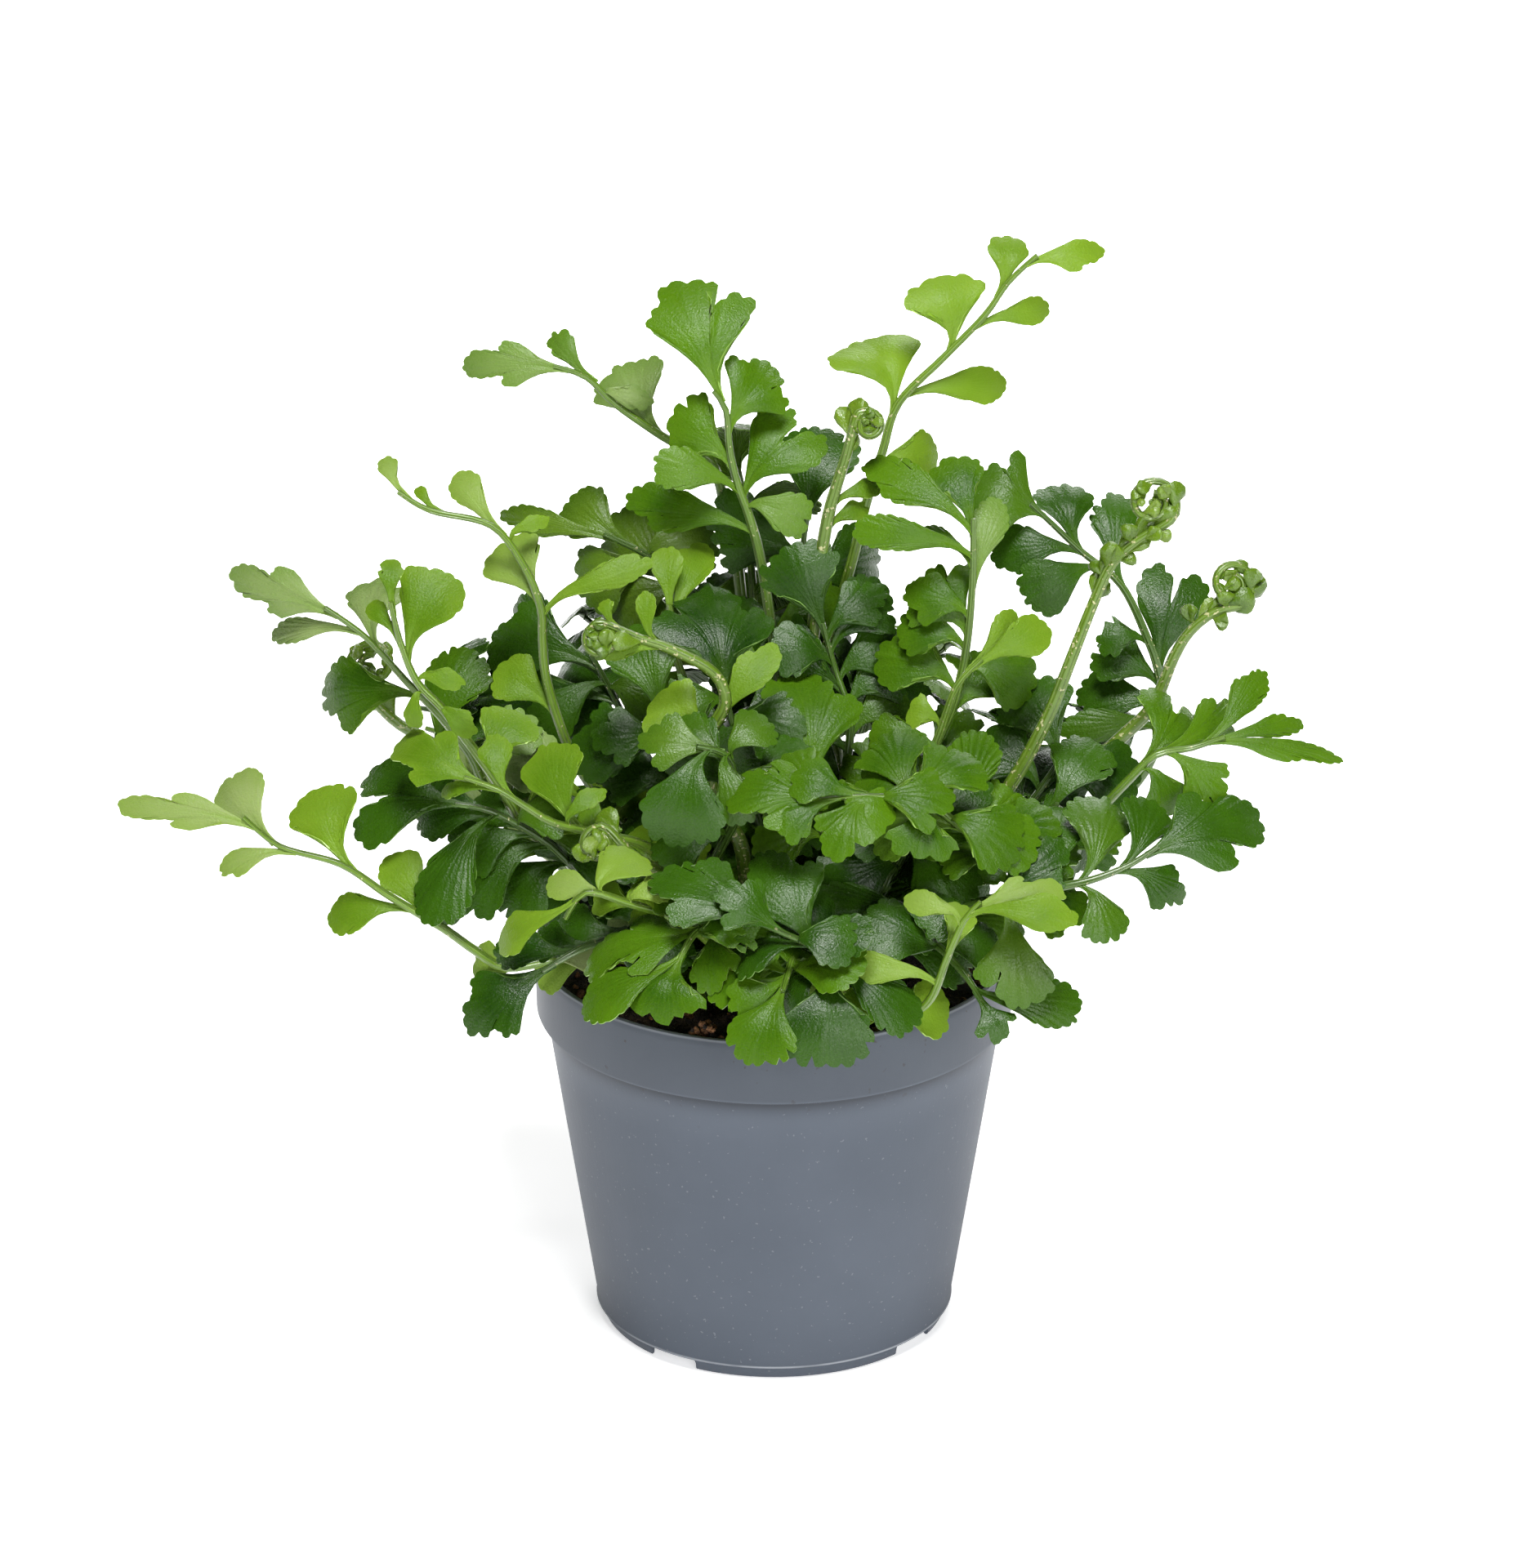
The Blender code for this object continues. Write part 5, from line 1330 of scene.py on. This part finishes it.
def pot_rings():
    """The pot's profile from the middle of its underside, up its outside and down its inside."""
    band_low = POT_HEIGHT - RIM_BAND
    floor_top = FOOT_HEIGHT + FLOOR
    foot = BODY_FOOT_RADIUS - FOOT_INSET
    mould = BODY_FOOT_RADIUS + MOULD_LINE
    inside = RIM_RADIUS - RIM_WALL
    under_pad = [(PAD_RADIUS - 0.4, 0), (PAD_RADIUS, 0.4), (PAD_RADIUS, FOOT_HEIGHT)]
    foot_ring = [(foot - WALL, FOOT_HEIGHT), (foot - WALL, 0.3), (foot - WALL + 0.3, 0), (foot - 0.3, 0),
                 (foot, 0.35), (foot + 0.4, FOOT_HEIGHT - 0.7), (BODY_FOOT_RADIUS, FOOT_HEIGHT - 0.35),
                 (mould, FOOT_HEIGHT), (mould, FOOT_HEIGHT + 0.35)]
    body = [(wall_radius(height), height) for height in (FOOT_HEIGHT + 0.9, 20, 45, 70, band_low - 0.6)]
    step = [(wall_radius(band_low) + 0.3, band_low - 0.1), (RIM_RADIUS - 1.5, band_low + 0.05),
            (RIM_RADIUS - 0.7, band_low + 0.45), (RIM_RADIUS - 0.35, band_low + 1.3)]
    band = [(RIM_RADIUS - 0.1, POT_HEIGHT - 3.2), (RIM_RADIUS, POT_HEIGHT - 2.4),
            (RIM_RADIUS, POT_HEIGHT - LIP), (RIM_RADIUS - LIP * 0.3, POT_HEIGHT - LIP * 0.3),
            (RIM_RADIUS - LIP, POT_HEIGHT)]
    hollow = [(inside + LIP, POT_HEIGHT), (inside + LIP * 0.3, POT_HEIGHT - LIP * 0.3),
              (inside, POT_HEIGHT - LIP), (inside, band_low + WALL + 0.6),
              (wall_radius(band_low) - WALL + 0.5, band_low + 0.4),
              (wall_radius(band_low) - WALL, band_low - 0.4),
              (wall_radius(floor_top + 1) - WALL, floor_top + 1),
              (wall_radius(floor_top) - WALL - 1, floor_top), (FLOOR_MIDDLE, floor_top)]
    return under_pad + foot_ring + body + step + band + hollow


def make_pot(plastic):
    """The pot, with four rounded notches in its foot ring and a drain hole behind each."""
    pot = turned_piece("nursery_pot", pot_rings(), POT_SIDES)
    inside, outside = NOTCH_REACH
    cutters = bpy.data.collections.new("cutters")
    bpy.context.scene.collection.children.link(cutters)
    for quarter in range(4):
        angle = math.radians(FIRST_NOTCH + 90 * quarter)
        out = Vector((math.cos(angle), math.sin(angle), 0))
        deselect()
        bpy.ops.mesh.primitive_cube_add(size=1, location=out * (inside + outside) / 2 * MM,
                                        rotation=(0, 0, angle))
        notch = bpy.context.object
        notch.scale = ((outside - inside) * MM, NOTCH_WIDTH * MM, 2 * NOTCH_HEIGHT * MM)
        placed(notch)
        finish_modifier(notch, "BEVEL", width=NOTCH_ROUNDING * MM, segments=3)
        deselect()
        middle = out * DRAIN_PLACE * MM + Vector((0, 0, DRAIN_MIDDLE * MM))
        bpy.ops.mesh.primitive_cylinder_add(vertices=DRAIN_SIDES, radius=DRAIN_RADIUS * MM,
                                            depth=DRAIN_DEPTH * MM, location=middle)
        drain = placed(bpy.context.object)
        for cutter in (notch, drain):
            for home in list(cutter.users_collection):
                home.objects.unlink(cutter)
            cutters.objects.link(cutter)
    finish_modifier(pot, "BOOLEAN", operation="DIFFERENCE", operand_type="COLLECTION", collection=cutters)
    for cutter in list(cutters.objects):
        bpy.data.objects.remove(cutter, do_unlink=True)
    bpy.data.collections.remove(cutters)
    return smooth(finished(pot, plastic), POT_CREASE)


def soil_height(x, y):
    """The soil's top, a low mound with soft lumps and crumbs."""
    reach = math.hypot(x, y) / RIM_RADIUS
    lumps = math.sin(x * 0.17 + 1.3) * math.cos(y * 0.19 - 0.6) + 0.6 * math.sin(x * 0.41 - y * 0.33)
    crumbs = 0.9 * noise.noise(Vector((x, y, 0)) * 0.28) + 0.5 * noise.noise(Vector((x, y, 7)) * 0.75)
    return SOIL_LEVEL + SOIL_MOUND * (1 - reach * reach) + SOIL_LUMP * lumps + crumbs


def make_soil(peat):
    """The plug of soil inside the pot, with a crumbly top."""
    low = FOOT_HEIGHT + FLOOR + SEAT_GAP
    band_low = POT_HEIGHT - RIM_BAND
    edge = RIM_RADIUS - RIM_WALL - SEAT_GAP
    wall_low = wall_radius(low) - WALL - SEAT_GAP
    rings = [(FLOOR_MIDDLE, low), (wall_low - 2, low), (wall_low - 0.4, low + 1.2),
             (wall_radius(band_low) - WALL - SEAT_GAP - 0.1, band_low - 1.0), (edge, band_low + WALL + 2.2),
             (edge, SOIL_LEVEL - 0.5)]
    rings += [(edge * k / SOIL_RINGS, SOIL_LEVEL) for k in range(SOIL_RINGS, 0, -1)]
    soil = turned_piece("potting_soil", rings, SOIL_SIDES)
    for vertex in soil.data.vertices:
        x, y, z = vertex.co / MM
        if z > SOIL_LEVEL - 0.1:
            vertex.co.z = soil_height(x, y) * MM
    return smooth(finished(soil, peat), SOIL_CREASE)


def crumb(lump, middle, size, stretched, rough, peats, dark_share, chance):
    """A small uneven lump of peat, turned any way."""
    made = copied(lump)
    turn = Euler([chance.uniform(0, 6.3) for _ in range(3)]).to_matrix()
    stretch = [chance.uniform(*stretched) for _ in range(3)] if stretched else (1, 1, 1)
    for vertex in made.data.vertices:
        shaped = Vector([c * s for c, s in zip(vertex.co, stretch)]) * chance.uniform(*rough)
        vertex.co = (middle + turn @ shaped * size) * MM
    return finished(made, peats[0 if chance.random() < dark_share else 1])


def make_crumbs(peats, roots):
    """Loose crumbs all over the soil, and a low rusty heap of them inside the front of the rim."""
    chance = random.Random("crumbs")
    deselect()
    bpy.ops.mesh.primitive_ico_sphere_add(subdivisions=1, radius=1.0)
    lump = bpy.context.object
    crumbs = []
    for _ in range(CRUMB_COUNT):
        angle = chance.uniform(0, 2 * math.pi)
        reach = math.sqrt(chance.uniform(0.02, 1)) * (RIM_RADIUS - CRUMB_EDGE)
        x, y = reach * math.cos(angle), reach * math.sin(angle)
        size = chance.uniform(*CRUMB_SIZES) * (BIG_CRUMB if chance.random() < BIG_SHARE else 1)
        if any((Vector((x, y)) - root.xy).length < size + STEM_ROOM for root in roots):
            continue
        middle = Vector((x, y, soil_height(x, y) + size * CRUMB_SEAT))
        crumbs.append(crumb(lump, middle, size, CRUMB_STRETCH, CRUMB_ROUGH, peats, CRUMB_DARK, chance))
    for _ in range(RIM_CRUMBS):
        across, back = chance.gauss(0, 1), abs(chance.gauss(0, 1))
        angle = math.radians(RIM_CRUMB_SIDE + across * HEAP_TURN)
        reach = RIM_RADIUS - RIM_WALL - HEAP_GAP - back * HEAP_DEPTH
        size = chance.uniform(*HEAP_SIZES)
        heap = RIM_HEAP * max(0, 1 - abs(across) / HEAP_ENDS[0]) * max(0, 1 - back / HEAP_ENDS[1])
        high = SOIL_LEVEL + HEAP_FOOT + math.sqrt(chance.random()) * heap
        middle = Vector((reach * math.cos(angle), reach * math.sin(angle), high))
        crumbs.append(crumb(lump, middle, size, None, HEAP_ROUGH, peats, HEAP_DARK, chance))
    bpy.data.objects.remove(lump, do_unlink=True)
    return joined("soil_crumbs", crumbs)


# Fronds

def smooth_line(line):
    """The stem's line as a smooth curve of close points, each with its place."""
    fine = []
    points = [point for _, point in line]
    for k, ((a, p), (b, q)) in enumerate(zip(line, line[1:])):
        parts = max(2, round((q - p).length / STEM_STEP))
        fine += [(a + (b - a) * j / parts, spline(points, k + 1 + j / parts)) for j in range(parts)]
    return fine + [line[-1]]


def make_stem(frond, line, finish):
    """A frond's stem, a grooved tube that tapers along its line."""
    gain, tip = (CROSIER_GAIN, CROSIER_TIP) if frond["curl"] else (1.0, TIP_RADIUS)
    path = [point for _, point in line]
    points, uvs, far = [], [], 0.0
    for k, (here, side, top) in enumerate(square_to(path, (path[1] - path[0]).cross(frond["plane"][0]))):
        radius = stem_radius(line[k][0], line[-1][0], STEM_RADIUS * gain, tip)
        far += (here - path[k - 1]).length if k else 0
        for j in range(STEM_SIDES):
            angle = 2 * math.pi * j / STEM_SIDES
            dent = GROOVE * math.exp(-((angle - math.pi / 2) / GROOVE_WIDTH) ** 2)
            points.append(here + (side * math.cos(angle) + top * math.sin(angle)) * radius * (1 - dent))
            uvs.append((j / STEM_SIDES, far / STEM_PATTERN))
    return finished(mesh_piece("stem", points, ring_faces(len(path), STEM_SIDES), uvs), finish)


def blade_pattern(teeth):
    """A flat grid to bend leaves from, with one column for each step round a leaf's edge."""
    columns = 2 * SIDE_COLUMNS + TOOTH_COLUMNS * teeth
    bands = len(ROWS) - 1
    deselect()
    bpy.ops.mesh.primitive_grid_add(x_subdivisions=columns, y_subdivisions=bands, size=1)
    blade = bpy.context.object
    blade.name = f"blade_{teeth}"
    places = [(round((v.co.x + 0.5) * columns), round((v.co.y + 0.5) * bands)) for v in blade.data.vertices]
    layer = blade.data.uv_layers[0]
    layer.name = "UVMap"
    for loop in blade.data.loops:
        column, row = places[loop.vertex_index]
        layer.data[loop.index].uv = (column / columns, ROWS[row])
    blade.data.attributes.new("tint", "FLOAT", "POINT")
    return {"object": blade, "columns": columns, "teeth": teeth,
            "column": np.array([p[0] for p in places]), "row": np.array([p[1] for p in places])}


def leaf_curve(leaf, chance):
    """The leaf's edge without its scallops, as close points (across, along) in millimetres."""
    blade = leaf["length"] - STALK_LENGTH
    edges = FINE_EDGES[leaf["outline"]]
    if leaf["outline"] == FAN:
        edge = edges[chance.choice(FAN_KINDS[leaf["tone"]])]
    else:
        edge = chance.choice(edges)
    hand = chance.choice((-1, 1)) if leaf["outline"] in (FAN, SLIT) else 1
    half = STALK_WIDTH / 2
    points = [Vector((-half, -STALK_LENGTH)), Vector((-half, 0))]
    for x, y in edge if hand > 0 else reversed(edge):
        x, y = hand * x + chance.gauss(0, EDGE_CHANCE) * min(1, 2 * y), y + chance.gauss(0, EDGE_CHANCE) * y
        points.append(Vector((x * leaf["width"], y * blade)))
    points += [Vector((half, 0)), Vector((half, -STALK_LENGTH))]
    steps = (len(points) - 1) * EDGE_PARTS
    return np.array([tuple(spline(points, 1 + k / EDGE_PARTS)) for k in range(steps + 1)])


def leaf_edge(leaf, pattern, chance):
    """The leaf's edge at each column, even and scalloped, as points (across, along) in millimetres."""
    blade = leaf["length"] - STALK_LENGTH
    curve = leaf_curve(leaf, chance)
    walked = np.concatenate(([0], np.cumsum(np.linalg.norm(np.diff(curve, axis=0), axis=1))))
    outer = np.nonzero(curve[:, 1] > SMOOTH_SIDES * blade)[0]
    left, right = walked[outer[0]], walked[outer[-1]]
    teeth = pattern["teeth"]
    starts = np.sort([(tooth + chance.uniform(-TOOTH_SHIFT, TOOTH_SHIFT)) / teeth for tooth in range(teeth)])
    starts[0] = 0
    toothed = np.interp(np.arange(TOOTH_COLUMNS * teeth) / TOOTH_COLUMNS, range(teeth + 1), [*starts, 1])
    along = np.concatenate((np.linspace(0, left, SIDE_COLUMNS, endpoint=False),
                            left + (right - left) * toothed,
                            np.linspace(right, walked[-1], SIDE_COLUMNS + 1)))
    edge = np.stack([np.interp(along, walked, curve[:, k]) for k in (0, 1)], axis=1)
    run = np.gradient(edge, axis=0)
    out = np.stack((-run[:, 1], run[:, 0]), axis=1)
    out /= np.maximum(np.linalg.norm(out, axis=1, keepdims=True), 1e-6)
    pitch = (right - left) / teeth
    lift = np.zeros(len(edge))
    for tooth in range(teeth):
        first = SIDE_COLUMNS + tooth * TOOTH_COLUMNS
        depth = TOOTH_DEPTHS[leaf["tone"]] * pitch * chance.uniform(*TOOTH_VARIES)
        lift[first:first + TOOTH_COLUMNS] = [depth * (share - TOOTH_MIDDLE) for share in TOOTH_SHAPE]
        if chance.random() < NOTCH_SHARE and tooth:
            lift[first] -= depth * NOTCH_DEPTH
    if leaf["outline"] in (SLIT, HAND):
        far = np.linalg.norm(edge, axis=1)
        lift *= np.clip((far / far.max() - CALM_END) / CALM_RUN, CALM_LEAST, 1)
    return edge, edge + out * lift[:, None]


def leaf_blade(leaf, patterns, chance, runs):
    """A leaflet, bent out of a copy of the flat grid; its stalk runs down along the stem the way of runs."""
    teeth = next(count for limit, count in TOOTH_COUNTS if leaf["length"] < limit)
    pattern = patterns[teeth]
    even, scalloped = leaf_edge(leaf, pattern, chance)
    columns, rows = pattern["column"], pattern["row"]
    reach = np.array(ROWS)[rows]
    start = (columns / pattern["columns"] - 0.5) * STALK_WIDTH
    at_edge = rows == len(ROWS) - 1
    edge = np.where(at_edge[:, None], scalloped[columns], even[columns])
    x = start + (edge[:, 0] - start) * np.where(at_edge, 1, reach ** VEIN_BEND)
    y = (edge[:, 1] + STALK_LENGTH) * reach - STALK_LENGTH
    blade = leaf["length"] - STALK_LENGTH
    width = leaf["width"]
    share = np.clip(y / blade, 0, 1)

    height = leaf_height(x / width, share, leaf, FINE_PLEAT)
    wave = np.sin(2 * math.pi * RUFFLE_WAVES * columns / pattern["columns"] + leaf["phase"] * 2)
    height += RUFFLE * width * wave * reach ** 3
    height += DOME * width * (np.sin(math.pi * share) - share ** 4)
    height -= chance.uniform(*CROWNS[leaf["tone"]]) * width * (x / width) ** 2 * np.sqrt(share)
    ridges = np.zeros(pattern["columns"] + 1)
    ridges[SIDE_COLUMNS:SIDE_COLUMNS + TOOTH_COLUMNS * teeth] = np.tile(TOOTH_SHAPE, teeth)
    height += RIDGES[leaf["tone"]] * leaf["ridged"] * (ridges[columns] - TOOTH_MIDDLE) * reach ** 1.5
    height -= TIP_CURL * leaf["curled"] * blade * np.maximum(0, share - CURL_START) ** 2
    height += GUTTER * np.abs(x) * np.maximum(0, 1 - GUTTER_END * reach)
    turns = 2 * math.pi / SWELL_PITCH
    swell = np.sin(x * turns + leaf["phase"]) * np.sin(y * turns * 0.8 - leaf["phase"])
    height += SWELL * share * swell

    side, along, normal = (np.array(axis) for axis in leaf["axes"])
    out = STALK_LENGTH + y
    foot = RUN_DOWN * np.maximum(0, 1 - out / (RUN_SHARE * leaf["length"])) ** 2
    points = (np.array(leaf["base"]) + x[:, None] * side + out[:, None] * along + height[:, None] * normal
              - foot[:, None] * np.array(runs))
    thing = copied(pattern["object"])
    thing.data.vertices.foreach_set("co", (points * MM).astype(np.float32).ravel())
    tint = max(0, chance.gauss(*LEAF_TINTS) + leaf["paler"])
    thing.data.attributes["tint"].data.foreach_set("value", np.full(len(points), tint, np.float32))
    return thing


def rolled_leaflets(frond, chance):
    """Where a crosier's rolled leaflets sit: along the end of its stem and inside its curl."""
    found = [dict(leaf, bend=leaf["bearing"]) for leaf in frond["leaves_found"] if leaf["outline"] == BEAD]
    free = len(frond["points"])
    first = free - KNOB_REACH.get(frond["name"], KNOB_REACH_ELSE)
    spots = [(first + k * KNOB_STEP + chance.uniform(-KNOB_STRAY, KNOB_STRAY), 1,
              chance.uniform(*KNOB_GAINS)) for k in range(int((free - first) / KNOB_STEP))]
    first = free + CURL_KNOB_START
    spots += [(first + k * CURL_KNOB_STEP + chance.uniform(-CURL_KNOB_STRAY, CURL_KNOB_STRAY), 0,
               chance.uniform(*CURL_KNOB_GAINS) - CURL_KNOB_SHRINK * k) for k in range(CURL_KNOBS)]
    _, across, up = frond["plane"]
    inward = -frond["curl"][1]
    hand = 1
    for at, outside, gain in spots:
        ahead = line_run(frond["line"], at)
        heading = math.degrees(math.atan2(ahead.dot(across), ahead.dot(up)))
        side = hand if chance.random() < OUTWARD_SHARE else inward
        turn = side * chance.uniform(*KNOB_TURNS) if outside else inward * chance.uniform(*CURL_KNOB_TURNS)
        length = chance.uniform(*KNOB_LENGTHS) * gain * (1 if outside else CURL_KNOB_SIZE)
        found.append({"at": at, "bearing": heading + turn, "length": length, "bend": turn,
                      "width": length * chance.uniform(*KNOB_WIDTHS)})
        hand = -hand
    return found


def rolled_leaflet(bud, plane, base, chance):
    """A leaflet that is still rolled up: a plump folded knob that bends over, as one small closed piece."""
    twist, pitch = chance.uniform(-BUD_TWIST, BUD_TWIST), chance.uniform(*BUD_PITCHES)
    side, along, normal = leaf_axes(plane, bud["bearing"], twist, pitch)
    bend = -math.copysign(BUD_BEND, bud["bend"]) * chance.uniform(*BUD_BENDS)
    fold_side = math.pi / 2 + chance.uniform(-FOLD_STRAY, FOLD_STRAY)
    lobes = chance.uniform(0, 2 * math.pi)
    points, uvs = [], []
    here, last_far = base, 0.0
    for far, wide in BUD_RINGS:
        ahead = along * math.cos(bend * far) + side * math.sin(bend * far)
        aside = side * math.cos(bend * far) - along * math.sin(bend * far)
        here = here + ahead * (far - last_far) * bud["length"]
        last_far = far
        radius = wide * bud["width"] / 2
        for j in range(BUD_SIDES):
            turn = 2 * math.pi * j / BUD_SIDES
            off = math.remainder(turn - fold_side, 2 * math.pi)
            fold = BUD_FOLD * math.exp(-(off / BUD_FOLD_WIDTH) ** 2) * min(1, far * 2)
            lobe = BUD_LOBES * math.cos(3 * turn + lobes + 5 * far) * far
            out = aside * math.cos(turn) + normal * math.sin(turn) * BUD_FLAT
            points.append(here + out * radius * (1 - fold + lobe))
            uvs.append((j / BUD_SIDES, far))
    thing = mesh_piece("rolled_leaflet", points, ring_faces(len(BUD_RINGS), BUD_SIDES), uvs)
    tint = thing.data.attributes.new("tint", "FLOAT", "POINT")
    tint.data.foreach_set("value", np.full(len(points), max(0, chance.gauss(*BUD_TINTS)), np.float32))
    return face_out(thing)


def dress_leaf(leaf, frond, line, chance):
    """Gives a leaf its place on the smooth stem, its size and the ways in which it differs from its age."""
    name, tone = frond["name"], frond["tone"]
    leaf["base"] = on_line(line, leaf["at"])
    leaf["curled"] = chance.uniform(0.0, 1.0)
    leaf["tone"] = tone
    leaf["ridged"] = RIDGED.get(name, 1.0)
    leaf["paler"] = PALER.get(name, 0) + TIP_PALER * leaf["at"] / len(frond["points"])
    for mark, longer, wider, paler in LEAF_SHARES.get(name, ()):
        if mark in (round(leaf["at"], 1), round(leaf["at"] + LEAF_SINK, 1)):
            leaf["length"], leaf["width"] = leaf["length"] * longer, leaf["width"] * wider
            leaf["paler"] += paler
    leaf["length"] *= LEAF_GAIN[tone][0]
    leaf["width"] *= LEAF_GAIN[tone][1]


def make_frond(frond, finishes, patterns):
    """A frond's leaflets and its stem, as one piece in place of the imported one."""
    chance = random.Random(frond["name"] + " edge")
    line = smooth_line(frond["line"])
    pieces = [make_stem(frond, line, finishes[3])]
    buds = [rolled_leaflet(bud, frond["plane"], on_line(line, bud["at"]), chance)
            for bud in (rolled_leaflets(frond, chance) if frond["curl"] else ())]
    blades = []
    for leaf in frond["leaves_found"]:
        if leaf["outline"] != BEAD:
            dress_leaf(leaf, frond, line, chance)
            blades.append(leaf_blade(leaf, patterns, chance, line_run(line, leaf["at"]).normalized()))
    if blades:
        leafy = finished(joined("leaves", blades), *finishes[:3])
        finish_modifier(leafy, "SOLIDIFY", thickness=LEAF_THICKNESS * MM, offset=0, material_offset=1,
                        material_offset_rim=2, use_even_offset=False)
        pieces.insert(0, leafy)
    if buds:
        pieces.append(finished(joined("rolled_leaflets", buds), finishes[4]))
    return smooth(joined(frond["name"] + "_frond", pieces), FROND_CREASE)


# The setting

def area_light(name, place, aim, size, power, spread):
    """A soft rectangular light that looks at its aim."""
    light = bpy.data.lights.new(name, "AREA")
    light.spread = math.radians(spread)
    light.shape = "RECTANGLE"
    light.size, light.size_y = size
    light.energy = power
    lamp = linked(bpy.data.objects.new(name, light))
    lamp.location = place
    lamp.rotation_euler = (Vector(aim) - Vector(place)).to_track_quat("-Z", "Y").to_euler()


def make_setting():
    """The camera, the floor with its painted glow, and the studio lights."""
    tilt = math.radians(VIEW_TILT)
    ahead = Vector((0, math.cos(tilt), -math.sin(tilt)))
    camera = bpy.data.cameras.new("camera")
    camera.sensor_width = VIEW_SENSOR
    camera.lens = VIEW_LENS
    seat = linked(bpy.data.objects.new("camera", camera))
    seat.location = (Vector(VIEW_AIM) - ahead * VIEW_DISTANCE) * MM
    seat.rotation_euler = ahead.to_track_quat("-Z", "Y").to_euler()
    bpy.context.scene.camera = seat

    deselect()
    bpy.ops.mesh.primitive_plane_add(size=FLOOR_SIZE, location=(0, 0, -FLOOR_DROP))
    floor = bpy.context.object
    floor.name = "studio_floor"
    paper = Finish("floor paper", FLOOR_ROUGHNESS)
    paper.give("Base Color", paper.mix(paper.noise(3.0, 2.0), *FLOOR_GREYS))
    paper.give("Emission Color", (1, 1, 1, 1))
    # Painted light: the floor's glow grows with the distance from the pot's axis
    far = paper.node("ShaderNodeVectorMath", operation="LENGTH")
    paper.feed(far.inputs[0], paper.place)
    paper.give("Emission Strength", paper.ranged(far.outputs["Value"], *FLOOR_REACH, *FLOOR_GLOW))
    floor.data.materials.append(paper.material)

    world = bpy.data.worlds.new("studio")
    bpy.context.scene.world = world
    world.use_nodes = True
    sky = world.node_tree.nodes["Background"]
    sky.inputs["Color"].default_value = (1, 1, 1, 1)
    sky.inputs["Strength"].default_value = WORLD_LIGHT
    for light in LIGHTS:
        area_light(*light)
    bpy.context.scene.view_settings.view_transform = "Standard"


def main():
    """Reads the solids, and dresses the pot, the soil and every frond."""
    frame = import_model()
    fronds = all_fronds()
    for frond in fronds:
        tree, root = corner_tree(frame["nodes"]["frond_" + frond["name"]])
        frond["root"] = root
        frond["line"] = fitted_line(frond, tree, root)
        frond["leaves_found"] = fitted_leaves(frond, tree)

    solids = solid_trees(frame["nodes"])
    add_leaflets(fronds, solids, turn_back(fronds, solids))
    make_setting()
    pot = make_pot(plastic_finish())
    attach(pot, "root")
    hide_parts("pot")
    peats = peat_finish("dark peat", *DARK_PEAT), peat_finish("rusty peat", *RUSTY_PEAT)
    soil = make_soil(peats[0])
    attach(soil, "root")
    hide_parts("soil")
    crumbs = make_crumbs(peats, [frond["root"] for frond in fronds])
    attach(crumbs, "root")

    finishes = leaf_finishes()
    patterns = {teeth: blade_pattern(teeth) for _, teeth in TOOTH_COUNTS}
    for frond in fronds:
        own = finishes[frond["tone"]]
        piece = make_frond(frond, own[:3] + finishes["rolled"] if frond["curl"] else own, patterns)
        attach(piece, "root")
        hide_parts("frond_" + frond["name"])
    for pattern in patterns.values():
        bpy.data.objects.remove(pattern["object"], do_unlink=True)


main()
